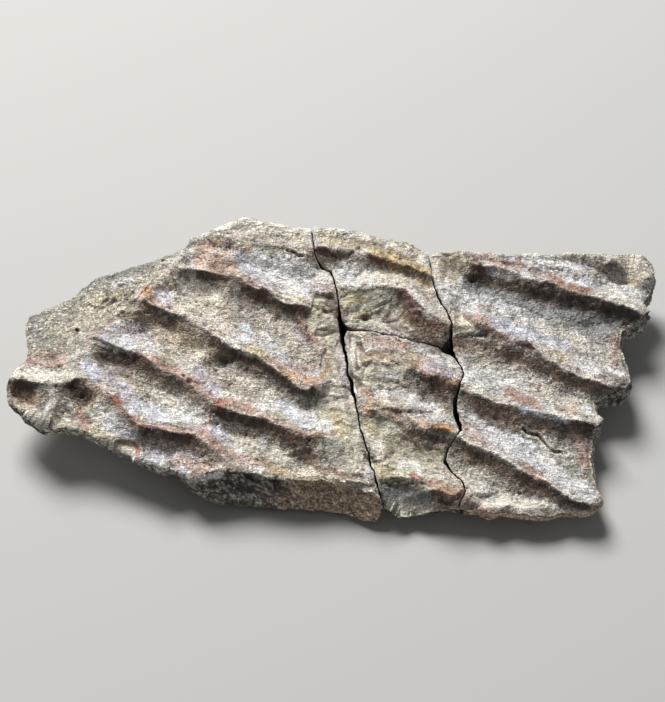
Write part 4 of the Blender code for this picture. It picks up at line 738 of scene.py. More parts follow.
    ("umber", 0.8, 0.8, [(32.4, 11.8), (35.6, 10.8), (39.0, 10.0), (43.0, 8.9)]),
    ("shadow", 0.6, 0.6, [(38.6, 9.4), (41.4, 8.8), (44.4, 8.6)]),
    ("ivory", 1.1, 0.6, [(40.4, 12.8), (43.4, 11.6), (46.2, 10.6)]),
    ("cream", 1.0, 0.6, [(22.6, 19.6), (30.0, 19.2), (38.0, 19.4), (45.0, 19.6)]),
    ("pale", 1.2, 0.5, [(29.0, 18.2), (33.0, 17.8), (37.0, 17.6)]),
    ("umber", 0.15, 0.5, [(31.4, 18.9), (34.6, 19.1), (38.4, 18.9), (40.6, 18.4)]),
    ("brown", 1.1, 0.6, [(40.6, 17.2), (42.6, 17.4), (44.6, 17.0)]),
    ("umber", 0.5, 0.6, [(41.0, 16.6), (42.4, 16.0), (43.6, 17.0)]),
    ("tan", 1.0, 0.4, [(42.6, 15.2), (45.6, 14.8), (47.0, 16.0)]),
    ("pale", 1.3, 0.6, [(41.0, 14.6), (44.0, 13.0), (46.4, 12.0)]),
    # Groove in front of the first ridge.
    ("pale", 1.6, 0.7, [(15.6, 13.0), (17.8, 11.4), (20.2, 9.8)]),
    ("pale", 1.8, 0.6, [(20.0, 12.6), (23.6, 10.8), (27.0, 9.2), (30.0, 7.2)]),
    ("blue", 1.3, 0.4, [(22.2, 12.0), (25.4, 10.4)]),
    ("ivory", 1.6, 0.5, [(31.0, 6.6), (34.4, 4.8), (37.4, 2.8), (40.0, 1.0)]),
    ("lilac", 1.2, 0.4, [(36.0, 6.4), (39.4, 5.0)]),
    ("pink", 1.0, 0.5, [(41.0, 4.6), (41.6, 2.4), (41.4, 0.8)]),
    ("rust", 0.5, 0.5, [(41.6, 5.6), (41.2, 3.8)]),
    # Second ridge of the right fragment.
    ("cream", 1.2, 1.1, [(18.4, 7.0), (19.0, 6.4), (20.0, 6.0)]),
    ("rust", 0.6, 0.7, [(16.4, 8.6), (17.6, 8.0), (19.4, 8.0), (21.0, 7.6)]),
    ("pink", 0.8, 0.6, [(20.6, 7.8), (22.2, 7.2), (24.0, 6.0)]),
    ("rust", 0.6, 0.6, [(21.2, 6.6), (23.0, 5.0), (24.4, 4.0)]),
    ("lilac", 0.8, 0.6, [(23.0, 6.8), (25.0, 6.4)]),
    ("maroon", 0.75, 0.85, [(26.8, 3.9), (27.6, 3.5), (28.3, 3.0)]),
    ("cream", 0.9, 0.6, [(29.6, 3.8), (32.0, 2.4), (34.0, 1.2)]),
    ("ochre", 0.7, 0.4, [(30.8, 3.0), (33.6, 1.0)]),
    ("umber", 0.6, 0.7, [(17.8, 3.9), (20.4, 3.7), (23.0, 2.8)]),
    ("brown", 1.5, 0.65, [(17.6, 2.9), (20.6, 2.6), (24.0, 1.4), (27.2, 0.4)]),
    ("maroon", 0.8, 0.5, [(25.0, 2.6), (26.6, 1.6)]),
    ("brown", 1.0, 0.7, [(28.0, 0.6), (31.0, -1.0), (34.0, -2.8), (37.6, -4.0)]),
    ("pale", 1.0, 0.6, [(36.0, 0.4), (38.8, -0.8), (41.4, -1.6)]),
    ("umber", 0.5, 0.6, [(36.0, -4.4), (39.0, -4.8), (41.8, -4.4)]),
    # Third ridge of the right fragment.
    ("pale", 1.5, 0.6, [(18.6, -0.6), (21.2, -1.8), (24.0, -2.8), (27.0, -3.6)]),
    ("sage", 1.1, 0.4, [(20.0, -0.2), (22.6, -0.8)]),
    ("ivory", 0.8, 0.6, [(19.6, -4.6), (22.0, -5.2), (24.0, -5.4)]),
    ("rust", 1.1, 0.75, [(24.9, -4.9), (26.6, -5.5), (28.4, -6.3)]),
    ("cream", 1.2, 0.5, [(29.0, -4.4), (32.0, -5.6), (35.0, -7.0)]),
    ("blue", 1.0, 0.6, [(27.0, -7.6), (30.0, -8.4), (33.0, -9.0)]),
    ("ivory", 0.8, 0.6, [(30.4, -7.6), (34.0, -8.6), (37.4, -8.8)]),
    ("rust", 0.5, 0.5, [(32.0, -7.2), (34.4, -7.6)]),
    ("umber", 0.6, 0.7, [(18.4, -5.2), (20.0, -6.0), (21.6, -6.9)]),
    ("brown", 1.3, 0.7, [(20.4, -7.4), (24.0, -8.6), (27.6, -9.6), (31.6, -10.4)]),
    ("umber", 0.6, 0.7, [(30.4, -10.4), (33.4, -11.0), (36.4, -11.0)]),
    # Fourth ridge and the front of the right fragment.
    ("pink", 1.0, 0.6, [(18.4, -10.2), (19.4, -11.6), (20.6, -12.4)]),
    ("maroon", 0.8, 0.6, [(18.0, -9.0), (19.6, -10.2), (21.0, -11.0)]),
    ("lilac", 1.1, 0.5, [(21.0, -11.6), (23.4, -12.8)]),
    ("pale", 1.5, 0.7, [(22.6, -11.4), (25.4, -13.2), (28.0, -15.0), (30.4, -17.0)]),
    ("blue", 1.2, 0.5, [(25.0, -12.2), (27.6, -13.8)]),
    ("ivory", 0.8, 0.6, [(18.6, -13.2), (21.4, -14.0), (24.0, -15.4)]),
    ("peach", 0.8, 0.7, [(27.0, -17.0), (28.4, -18.0), (29.6, -18.8)]),
    ("pale", 1.4, 0.6, [(30.0, -17.4), (33.0, -19.4), (35.4, -20.6)]),
    ("pink", 1.2, 0.6, [(34.4, -11.8), (35.8, -13.6), (36.2, -15.4)]),
    ("maroon", 0.7, 0.5, [(34.2, -12.6), (36.0, -12.4)]),
    ("rust", 0.7, 0.5, [(34.6, -14.8), (35.8, -16.4)]),
    ("umber", 0.5, 0.7, [(17.0, -14.2), (19.4, -14.8), (22.0, -16.0)]),
    ("brown", 1.3, 0.7, [(18.4, -15.6), (21.6, -16.8), (24.6, -18.6), (28.0, -20.4)]),
    ("umber", 0.7, 0.7, [(26.0, -18.4), (29.4, -20.6), (32.6, -22.2), (35.6, -23.4)]),
    ("sage", 1.4, 0.5, [(17.4, -17.2), (19.4, -18.6), (21.4, -19.6)]),
    ("ivory", 1.1, 0.5, [(18.6, -19.8), (22.0, -21.0), (25.8, -22.4), (30.0, -23.4)]),
    ("pink", 0.9, 0.6, [(17.6, -20.6), (18.8, -21.8), (20.4, -22.6)]),
    ("peach", 0.8, 0.6, [(20.4, -23.4), (22.0, -24.0), (23.8, -23.4)]),
    ("maroon", 0.5, 0.7, [(17.4, -22.4), (18.6, -23.2), (20.0, -23.8)]),
    # From here on, second layers over several places at once: first, shade in the walls and pits.
    ("umber", 1.0, 0.8, [(-14.8, 9.6), (-13.4, 8.8)]),
    ("umber", 1.3, 0.8, [(-34.8, -0.6), (-33.2, -1.6), (-31.4, -2.4)]),
    ("umber", 1.2, 0.7, [(-38.6, -6.6), (-37.2, -7.6)]),
    ("umber", 1.0, 0.6, [(-14.6, -2.2), (-12.2, -3.0)]),
    ("umber", 0.7, 0.6, [(-0.4, 8.4), (0.4, 6.8)]),
    ("umber", 1.2, 0.7, [(7.4, 6.8), (9.4, 5.8)]),
    ("umber", 1.2, 0.8, [(11.6, 4.4), (13.6, 3.2), (15.0, 2.2)]),
    ("umber", 1.2, 0.7, [(12.4, -5.4), (15.4, -6.6)]),
    ("umber", 1.2, 0.7, [(20.4, -8.6), (23.6, -10.0), (26.0, -10.8), (28.8, -11.8)]),
    ("umber", 1.0, 0.6, [(39.4, -2.0), (42.6, -2.8)]),
    ("umber", 1.5, 0.9, [(22.0, 14.0), (26.0, 12.8), (30.0, 11.4), (34.0, 9.9), (38.0, 8.9),
                         (43.0, 7.8)]),
    ("shadow", 0.9, 0.8, [(21.0, 14.4), (26.0, 13.2), (31.0, 11.8), (36.0, 10.2), (41.0, 9.0),
                          (44.0, 8.4)]),
    ("slate", 1.7, 0.5, [(28.8, 9.6), (32.5, 8.2), (36.2, 6.6), (39.9, 5.8)]),
    # Painted light: bright slopes and edges of all fragments, with the blue slopes of the right one.
    ("pale", 1.8, 0.8, [(-8.4, 16.6), (-6.0, 15.5), (-4.4, 14.8)]),
    ("ivory", 1.6, 0.7, [(-24.8, 15.8), (-23.4, 14.6)]),
    ("ivory", 1.8, 0.7, [(-23.2, 12.2), (-20.6, 11.2), (-18.2, 10.6)]),
    ("ivory", 0.6, 0.8, [(-17.0, 2.8), (-14.4, 1.4), (-12.0, 0.4)]),
    ("ivory", 1.6, 1.0, [(-4.2, -20.3), (-0.7, -21.2), (2.8, -22.6), (5.0, -24.2)]),
    ("ivory", 1.1, 0.9, [(19.6, -22.2), (24.0, -23.0), (29.6, -23.7)]),
    ("pale", 0.8, 0.9, [(-33.6, -14.6), (-29.9, -16.6), (-24.8, -18.6), (-22.7, -18.2)]),
    ("pale", 0.8, 0.9, [(-22.4, -19.0), (-19.8, -19.8), (-17.0, -19.0)]),
    ("blue", 1.2, 0.6, [(24.0, 6.8), (27.0, 5.4), (30.0, 4.4), (34.0, 3.4)]),
    ("pale", 1.2, 0.6, [(18.8, -9.0), (21.4, -11.0), (24.0, -13.0)]),
    # Painted shade: the dark band in the right fragment's first groove, and shade at the cracks and the rear
    # rim.
    ("slate", 1.7, 0.9, [(20.6, 13.4), (25.2, 12.2), (30.4, 9.8), (35.6, 8.0), (41.0, 6.8)]),
    ("umber", 1.1, 0.7, [(19.8, 14.8), (23.6, 13.8), (28.0, 12.4), (32.0, 11.0)]),
    ("umber", 1.0, 0.6, [(24.0, 1.8), (28.0, 0.2), (32.0, -1.6), (36.0, -3.4)]),
    ("umber", 1.4, 0.8, [(-1.4, 9.8), (0.2, 8.0)]),
    ("slate", 1.6, 0.8, [(42.4, 17.0), (45.0, 16.9), (46.8, 16.6)]),
    ("shadow", 0.6, 0.6, [(41.4, 17.6), (44.0, 17.7), (46.0, 17.4)]),
    # Cream and peach front wall, its own colour partly lightened as painted light, with its dark cracks
    # and a painted highlight on its brink.
    ("cream", 2.2, 0.9, [(-6.0, -19.6), (-3.0, -21.0), (0.4, -22.6), (4.0, -24.4)]),
    ("peach", 1.6, 0.5, [(-5.0, -20.4), (-1.0, -22.2), (3.4, -24.0)]),
    ("peach", 0.8, 0.7, [(-3.6, -21.6), (-0.6, -22.8), (2.6, -24.4)]),
    ("umber", 0.35, 0.7, [(-5.6, -20.8), (-3.0, -22.2), (-0.4, -23.4)]),
    ("umber", 0.3, 0.7, [(-1.2, -20.9), (1.4, -21.6), (3.8, -23.0)]),
    ("ivory", 0.5, 0.9, [(-5.0, -19.9), (-2.0, -20.6), (1.0, -21.2), (3.8, -22.2)]),
    # Bright rims, with painted highlights along the tip's front edge: the tip, the broken margin at the back
    # left, and the rear edge.
    ("ivory", 0.9, 0.9, [(-49.2, -7.4), (-47.6, -10.0), (-45.0, -11.8), (-42.0, -12.8)]),
    ("ivory", 0.8, 0.9, [(-41.4, -12.6), (-38.4, -12.8), (-36.0, -13.4), (-34.2, -14.6)]),
    ("cream", 1.3, 0.7, [(-46.8, -8.6), (-44.0, -10.4), (-40.6, -11.2)]),
    ("ivory", 1.0, 0.8, [(-44.8, -2.6), (-42.0, -3.2), (-39.6, -3.2)]),
    ("ivory", 0.7, 0.9, [(-38.6, 3.2), (-36.0, 2.6), (-33.2, 1.6), (-31.0, 0.8)]),
    ("cream", 1.6, 0.6, [(-33.8, 12.2), (-31.0, 14.2), (-28.0, 16.0)]),
    ("cream", 1.8, 0.6, [(-38.6, 6.4), (-35.6, 8.6), (-32.6, 10.4)]),
    ("pale", 1.6, 0.7, [(-13.0, 17.6), (-9.6, 16.2), (-6.6, 15.0)]),
    ("ivory", 1.2, 0.7, [(-19.0, 23.2), (-14.0, 23.0), (-8.0, 22.4)]),
    ("ivory", 1.2, 0.7, [(3.6, 14.6), (6.6, 14.9), (9.6, 14.2)]),
    ("ivory", 1.2, 0.8, [(13.2, 9.0), (15.6, 8.2), (17.6, 7.6)]),
    # Golden calcite behind the middle, and the warm front edge.
    ("yellow", 1.4, 0.25, [(-2.6, 21.8), (3.0, 20.6), (8.0, 19.2)]),
    ("ochre", 0.9, 0.6, [(7.4, 17.2), (9.6, 16.2), (11.6, 15.2), (13.2, 13.6)]),
    ("tan", 1.4, 0.5, [(10.8, 14.6), (12.6, 12.8), (14.0, 10.6)]),
    ("tan", 1.2, 0.5, [(18.6, 19.0), (20.0, 17.0)]),
    ("peach", 1.4, 0.6, [(14.4, -22.6), (17.0, -23.6), (20.6, -24.6)]),
    ("mauve", 0.8, 0.7, [(15.4, -21.8), (17.6, -22.6), (19.6, -23.4)]),
    ("pink", 1.3, 0.6, [(20.6, -23.6), (25.0, -24.6), (30.0, -25.2)]),
    ("ivory", 0.8, 0.9, [(21.0, -22.4), (25.4, -23.2), (30.4, -23.8), (33.0, -24.2)]),
    ("ochre", 0.8, 0.4, [(-4.6, -19.4), (-1.0, -20.2), (2.8, -21.4)]),
    ("peach", 0.7, 0.8, [(13.8, -19.4), (15.2, -20.2), (16.2, -20.6)]),
    # Golden and lilac marks of the lower middle fragment, and two warm patches at the left.
    ("brown", 0.5, 0.5, [(3.5, 1.2), (6.0, 1.9), (9.0, 1.4), (10.9, -0.2)]),
    ("lilac", 0.8, 0.8, [(12.8, -0.8), (14.8, -0.8), (16.4, -2.0)]),
    ("rust", 0.6, 0.8, [(13.8, -2.4), (15.7, -3.1), (17.2, -3.7)]),
    ("peach", 0.9, 0.6, [(3.7, -5.3), (4.7, -6.4), (3.7, -7.8)]),
    ("maroon", 0.5, 0.5, [(6.3, -7.7), (8.8, -7.9), (12.2, -8.1)]),
    ("tan", 1.4, 0.5, [(5.2, -6.4), (8.8, -7.1)]),
    ("tan", 1.5, 0.5, [(-30.7, 7.4), (-23.8, 4.6), (-17.7, 1.0)]),
    ("peach", 1.2, 0.5, [(-46.4, -7.6), (-44.6, -7.4)]),
    # Broken spongy bone at the back left.
    ("pale", 0.8, 1.3, [(-34.1, 11.8), (-33.1, 12.5), (-31.9, 13.2)]),
    ("cream", 1.6, 0.45, [(-40.6, 4.0), (-38.6, 5.2), (-36.8, 7.0), (-34.8, 8.6)]),
    ("yellow", 1.0, 0.5, [(-36.4, 9.4), (-34.6, 10.4), (-33.2, 11.2)]),
    ("slate", 1.5, 0.7, [(-45.4, 9.2), (-42.0, 11.4), (-38.4, 13.2), (-34.0, 14.4), (-29.0, 16.6)]),
    ("slate", 0.9, 0.5, [(-45.8, 9.2), (-46.2, 6.0), (-45.8, 3.0)]),
    ("cream", 1.6, 0.4, [(-42.4, 4.4), (-40.6, 7.2), (-38.0, 9.4), (-35.4, 10.0)]),
    ("olive", 1.4, 0.4, [(-30.6, 16.8), (-27.4, 17.6)]),
    ("slate", 0.9, 0.6, [(-25.6, 18.6), (-23.2, 20.4)]),
    ("shadow", 0.5, 0.8, [(-39.3, 4.1), (-39.1, 3.9)]),
    ("umber", 0.35, 0.7, [(-37.8, 8.4), (-36.4, 8.2), (-35.2, 9.6)]),
    ("cream", 0.9, 0.5, [(-36.8, 4.6), (-35.0, 6.4), (-33.0, 8.2), (-31.4, 10.4), (-29.6, 13.4)]),
    ("pink", 0.9, 0.45, [(-37.6, 2.2), (-35.8, 4.4), (-34.2, 5.8)]),
]


def smooth_step(value):
    """Ease from 0 to 1."""
    value = np.clip(value, 0.0, 1.0)
    return value * value * (3.0 - 2.0 * value)


def smooth_max(first, second, blend):
    """The larger of two fields, rounded where they cross."""
    overlap = np.maximum(blend - np.abs(first - second), 0.0) / blend
    return np.maximum(first, second) + overlap * overlap * blend * 0.25


def nearest_on_line(x, y, line):
    """Distance to an open line, signed positive on its left, and its further values there."""
    line = np.asarray(line, float)
    best = np.full(x.shape, np.inf)
    signed = np.zeros(x.shape)
    values = [np.zeros(x.shape) for _ in line[0, 2:]]
    for start, end in zip(line[:-1], line[1:]):
        run = end - start
        length_squared = run[0] ** 2 + run[1] ** 2
        share = ((x - start[0]) * run[0] + (y - start[1]) * run[1]) / length_squared
        share = np.clip(share, 0.0, 1.0)
        off_x = x - start[0] - share * run[0]
        off_y = y - start[1] - share * run[1]
        distance = np.hypot(off_x, off_y)
        closer = distance < best
        best = np.where(closer, distance, best)
        side = np.where(run[0] * off_y - run[1] * off_x >= 0.0, 1.0, -1.0)
        signed = np.where(closer, side * distance, signed)
        for index, value in enumerate(values):
            values[index] = np.where(closer, start[2 + index] + share * run[2 + index], value)
    return signed, values


def inside(x, y, outline):
    """Distance to a closed outline, positive inside it and negative outside."""
    ring = np.vstack((outline, outline[:1]))
    crossings = np.zeros(len(x), bool)
    for (x0, y0), (x1, y1) in zip(ring[:-1], ring[1:]):
        if y0 == y1:
            continue
        spans = (y0 > y) != (y1 > y)
        crossings ^= spans & (x < (x1 - x0) * (y - y0) / (y1 - y0) + x0)
    distance, _ = nearest_on_line(x, y, ring)
    return np.where(crossings, np.abs(distance), -np.abs(distance))


def from_ends(x, y, line):
    """Distance to the nearer end of a line."""
    return np.minimum(np.hypot(x - line[0, 0], y - line[0, 1]), np.hypot(x - line[-1, 0], y - line[-1, 1]))


def close_by(x, y, line, reach):
    """Which places lie within reach of the rectangle round a line."""
    low = line.min(axis=0) - reach
    high = line.max(axis=0) + reach
    return (x > low[0]) & (x < high[0]) & (y > low[1]) & (y < high[1])


def leftward(line):
    """Unit steps to the left of a line, one for each of its points."""
    heading = np.gradient(line, axis=0)
    heading /= np.linalg.norm(heading, axis=1)[:, None]
    return np.column_stack((-heading[:, 1], heading[:, 0]))


def scattered(column, row, seed):
    """Even numbers from 0 to 1 that look random, one for each lattice point."""
    column = column.astype(np.int64)
    row = row.astype(np.int64)
    mixed = column * 374761393 + row * 668265263 + seed * 69069
    mixed = mixed & 0xFFFFFFFF
    mixed = ((mixed ^ (mixed >> 13)) * 1274126177) & 0xFFFFFFFF
    mixed = mixed ^ (mixed >> 16)
    return mixed / 4294967296.0


def noise(x, y, size, seed):
    """Smooth noise, about -1 to 1, with lumps of the given size."""
    u = x / size
    v = y / size
    column = np.floor(u)
    row = np.floor(v)
    u = u - column
    v = v - row
    ease_u = u * u * u * (u * (u * 6.0 - 15.0) + 10.0)
    ease_v = v * v * v * (v * (v * 6.0 - 15.0) + 10.0)
    total = 0.0
    for step_u, weight_u in ((0, 1.0 - ease_u), (1, ease_u)):
        for step_v, weight_v in ((0, 1.0 - ease_v), (1, ease_v)):
            angle = 2.0 * math.pi * scattered(column + step_u, row + step_v, seed)
            slope = np.cos(angle) * (u - step_u) + np.sin(angle) * (v - step_v)
            total = total + slope * weight_u * weight_v
    return 1.5 * total


def fractal(x, y, size, seed, octaves=3):
    """Noise with finer noise on it."""
    total = 0.0
    for octave in range(octaves):
        total = total + noise(x, y, size / 2 ** octave, seed + octave) / 2 ** octave
    return total


def hairs(x, y, size, seed):
    """Thin curved lines, 1 on the line and 0 away from it."""
    return smooth_step(1.0 - np.abs(noise(x, y, size, seed)) / 0.09)


def peeled_layers(along, across):
    """Thin layers that have peeled off: their level, and the dark and the light of their edges."""
    level = 2.2 * fractal(along, LAYER_STRETCH * across, *LAYERS)
    below = np.floor(level)
    part = level - below
    step = smooth_step((part - 0.5) / 0.1 + 0.5)
    dark = smooth_step(1.5 - np.abs(part - 0.44) / 0.05)
    light = smooth_step(1.5 - np.abs(part - 0.57) / 0.05)
    return below + step, dark, light


def along_ridges(x, y):
    """Distance along and across the general run of the ridges."""
    cosine = math.cos(RIDGE_ANGLE)
    sine = math.sin(RIDGE_ANGLE)
    return x * cosine + y * sine, y * cosine - x * sine


def cells(x, y, size, seed):
    """Irregular cells: distance to the nearest centre, how much further the next one is, the offset
    from the nearest centre and a number of its own."""
    u = x / size
    v = y / size
    column = np.floor(u)
    row = np.floor(v)
    near = np.full(x.shape, 9.0)
    second = np.full(x.shape, 9.0)
    off_u = np.zeros(x.shape)
    off_v = np.zeros(x.shape)
    own = np.zeros(x.shape)
    for step_u in (-1, 0, 1):
        for step_v in (-1, 0, 1):
            centre_u = column + step_u + scattered(column + step_u, row + step_v, seed)
            centre_v = row + step_v + scattered(column + step_u, row + step_v, seed + 1)
            gap_u = u - centre_u
            gap_v = v - centre_v
            gap = np.hypot(gap_u, gap_v)
            closer = gap < near
            second = np.where(closer, near, np.minimum(second, gap))
            near = np.where(closer, gap, near)
            off_u = np.where(closer, gap_u, off_u)
            off_v = np.where(closer, gap_v, off_v)
            own = np.where(closer, scattered(column + step_u, row + step_v, seed + 2), own)
    return near * size, (second - near) * size, off_u * size, off_v * size, own


def flake_steps(x, y):
    """Drop of the surface at the thin flakes, with painted shadow below their edges and painted highlight on
    their lips.
    """
    drop = np.zeros(x.shape)
    dark = np.zeros(x.shape)
    light = np.zeros(x.shape)
    ragged_x = x + 0.12 * noise(x, y, 0.8, 23)
    ragged_y = y + 0.12 * noise(x, y, 0.8, 24)
    for step, reach, line in FLAKE_EDGES:
        line = np.array(line)
        near = close_by(x, y, line, reach)
        signed, _ = nearest_on_line(ragged_x[near], ragged_y[near], line)
        taper = smooth_step(from_ends(x[near], y[near], line) / 0.9 + 0.1)
        below = smooth_step(-signed / 0.1) * (1.0 - smooth_step(-signed / reach)) * taper
        lip = smooth_step(1.0 - np.maximum(signed, 0.0) / 0.7) * smooth_step(signed / 0.1 + 1.0) * taper
        drop[near] += step * (below - 0.25 * lip)
        shade = min(2.0 * step, 0.9) * taper
        dark[near] = np.maximum(dark[near], shade * smooth_step(1.6 - np.abs(signed + 0.22) / 0.16))
        light[near] = np.maximum(light[near], shade * smooth_step(1.6 - np.abs(signed - 0.16) / 0.14))
    return drop, dark, light


def facets(x, y, size, seed):
    """Broken facets, about -0.5 to 0.5: flat patches that tilt each its own way."""
    _, _, off_x, off_y, own = cells(x, y, size, seed)
    angle = 2.0 * math.pi * own
    tilt = (np.cos(angle) * off_x + np.sin(angle) * off_y) / size
    return tilt + 0.6 * (own - 0.5)


def crest_level(x, y):
    """Height of the plane that the ridge crests reach."""
    return CREST_HEIGHT + CREST_RISE_PER_Y * y + CREST_RISE_PER_X * x


def ornament(x, y):
    """Height of the ornament, 0 to 1, and its fields: painted shade under the crests, the crests' colours,
    painted light on the back slopes and a painted highlight along the crests.
    """
    field = np.zeros(x.shape)
    wall = np.zeros(x.shape)
    crest = np.zeros(x.shape)
    back = np.zeros(x.shape)
    painted_highlight = np.zeros(x.shape)
    wander = 1.0 + 0.30 * noise(x, y, 4.2, 19)
    for line in RIDGES.values():
        signed, (height, soft) = nearest_on_line(x, y, line)
        radius = CREST_RADIUS * (1.0 + 4.0 * soft)
        ahead = np.hypot(np.minimum(signed, 0.0), radius) - radius
        reach = RIDGE_FRONT * (1.1 + 0.9 * soft) * wander
        front = (1.0 - np.clip(ahead / reach, 0.0, 1.0)) ** (2.6 - 1.3 * soft)
        behind = 1.0 - smooth_step(signed / RIDGE_BACK) ** 0.85
        own = height * np.where(signed < 0.0, front, behind)
        leads = own > field - 0.15
        field = smooth_max(field, own, RIDGE_BLEND)
        # Painted shade on the wall just under each crest, darkest at its top and fading down the wall.
        below = -signed / wander
        painted_wall_shade = smooth_step(below / 0.12) * np.exp(-np.maximum(below - 0.55, 0.0) / 0.75)
        painted_wall_shade = painted_wall_shade * (1.0 - 0.8 * soft)
        wall = np.where(leads, np.maximum(wall * 0.6, painted_wall_shade * height), wall * (1.0 - painted_wall_shade))
        # Painted highlight in a thin line along each crest.
        painted_crest_highlight = np.exp(-((signed - 0.28) / 0.2) ** 2) * (1.0 - 0.6 * soft)
        painted_crest_highlight = painted_crest_highlight * smooth_step(3.0 * height - 1.6)
        painted_highlight = np.where(leads, np.maximum(painted_highlight * (1.0 - painted_wall_shade), painted_crest_highlight), painted_highlight)
        crest = np.where(leads, np.maximum(crest, np.exp(-((signed - 0.45) / 0.75) ** 2)), crest)
        slope = smooth_step((signed - 0.6) / 1.0) * (1.0 - smooth_step((signed - 2.6) / 2.4))
        back = np.where(leads, np.maximum(back, slope), back)
    for width, line in RISES.values():
        signed, (height,) = nearest_on_line(x, y, line)
        rise = height * (1.0 - smooth_step(np.abs(signed) / width))
        field = smooth_max(field, rise, RIDGE_BLEND)
    return field, wall, crest, back, painted_highlight


def turned_ellipse(x, y, centre_x, centre_y, along, across, turn):
    """Distance from an ellipse's centre, as a share of its radius."""
    cosine = math.cos(math.radians(turn))
    sine = math.sin(math.radians(turn))
    u = ((x - centre_x) * cosine + (y - centre_y) * sine) / along
    v = ((y - centre_y) * cosine - (x - centre_x) * sine) / across
    return np.hypot(u, v)


def hollow_depth(x, y):
    """Depth of the pits and hollows below the ornament."""
    depth = np.zeros(x.shape)
    for centre_x, centre_y, along, across, turn, deep in HOLLOWS:
        share = turned_ellipse(x, y, centre_x, centre_y, along, across, turn)
        depth = depth + deep * (1.0 - smooth_step(share))
    return depth


def broken_share(x, y):
    """Distance past the edge of the outer layer, and how far it has given way to spongy bone."""
    beyond, _ = nearest_on_line(x, y, ORNAMENT_EDGE)
    beyond = np.maximum(beyond + 0.35 * noise(x, y, 1.3, 71), 0.0)
    return beyond, smooth_step(beyond / FLANK_LEDGE_WIDTH)


def smooth_face(x, y):
    """Height of the outer face without its fine relief, and the fields that shape it."""
    warp_x = x + 0.40 * noise(x, y, 3.4, 11) + 0.15 * fractal(x, y, 1.3, 12)
    warp_y = y + 0.40 * noise(x, y, 3.4, 15) + 0.15 * fractal(x, y, 1.3, 16)
    field, wall, crest, back, painted_highlight = ornament(warp_x, warp_y)
    height = crest_level(x, y) - GROOVE_DEPTH * (1.0 - field) - hollow_depth(x, y)
    beyond, broken = broken_share(x, y)
    ledge = FLANK_LEDGE + TIP_LEDGE * smooth_step((TIP_LEDGE_START - x) / TIP_LEDGE_LENGTH)
    flank = crest_level(x, y) - ledge - FLANK_SLOPE * beyond
    height = height + (flank - height) * broken
    fields = {"field": field, "wall": wall, "crest": crest, "back": back, "broken": broken, "painted_highlight": painted_highlight}
    return height, fields


def read_y(x, y, height):
    """Where a place is read on the crest level, given how deep it lies."""
    return y - SLANT * (crest_level(x, y) - height)


def chipped(x, y, fields):
    """Depth of the chips, flakes and lumps. Their tone, the dark of their seams with the painted shadow below
    the flake steps, and the light beside the seams with the painted highlight on the flake lips go into the
    fields.
    """
    drop = np.zeros(x.shape)
    flaked = np.zeros(x.shape)
    tone = np.zeros(x.shape)
    edge = np.zeros(x.shape)
    pale = np.zeros(x.shape)
    ragged_x = x + 0.16 * noise(x, y, 0.9, 21)
    ragged_y = y + 0.16 * noise(x, y, 0.9, 22)
    for seed, (depth, rough, size, outline) in enumerate(CHIPS.values()):
        reach = inside(ragged_x, ragged_y, np.array(outline))
        share = smooth_step(reach / CHIP_STEP + 0.5)
        near = share > 0.0
        broken = np.zeros(x.shape)
        broken[near] = facets(x[near], y[near], size, 200 + 5 * seed)
        broken[near] += 0.4 * facets(x[near], y[near], 0.5 * size, 300 + 5 * seed)
        drop = np.maximum(drop, share * (depth - 0.75 * rough * broken * smooth_step(reach / 0.7)))
        flaked = np.maximum(flaked, share)
        _, gap, _, _, own = cells(x[near], y[near], 0.8 * size, 200 + 5 * seed)
        _, small_gap, _, _, small_own = cells(x[near], y[near], 0.5 * size, 300 + 5 * seed)
        tone[near] = own + 0.7 * small_own - 0.85
        seam = np.minimum(gap, 1.4 * small_gap)
        edge[near] = 0.7 * smooth_step(1.0 - seam / 0.14) * share[near]
        beside = 0.8 * smooth_step(1.0 - np.abs(seam - 0.3) / 0.14)
        pale[near] = beside * smooth_step(3.0 * own - 0.6) * share[near]
        rim = 1.0 - np.abs(reach[near]) / 0.3
        edge[near] = np.maximum(edge[near], smooth_step(rim) * 0.3)
    for centre_x, centre_y, along, across, turn, tall in LUMPS:
        share = turned_ellipse(ragged_x, ragged_y, centre_x, centre_y, along, across, turn)
        drop = drop - tall * smooth_step(1.6 * (1.0 - share))
    fields["flaked"] = flaked
    fields["tone"] = tone
    step, dark, light = flake_steps(x, y)
    fields["edge"] = np.maximum(edge, dark)
    fields["lip"] = np.maximum(light, pale)
    return drop + step


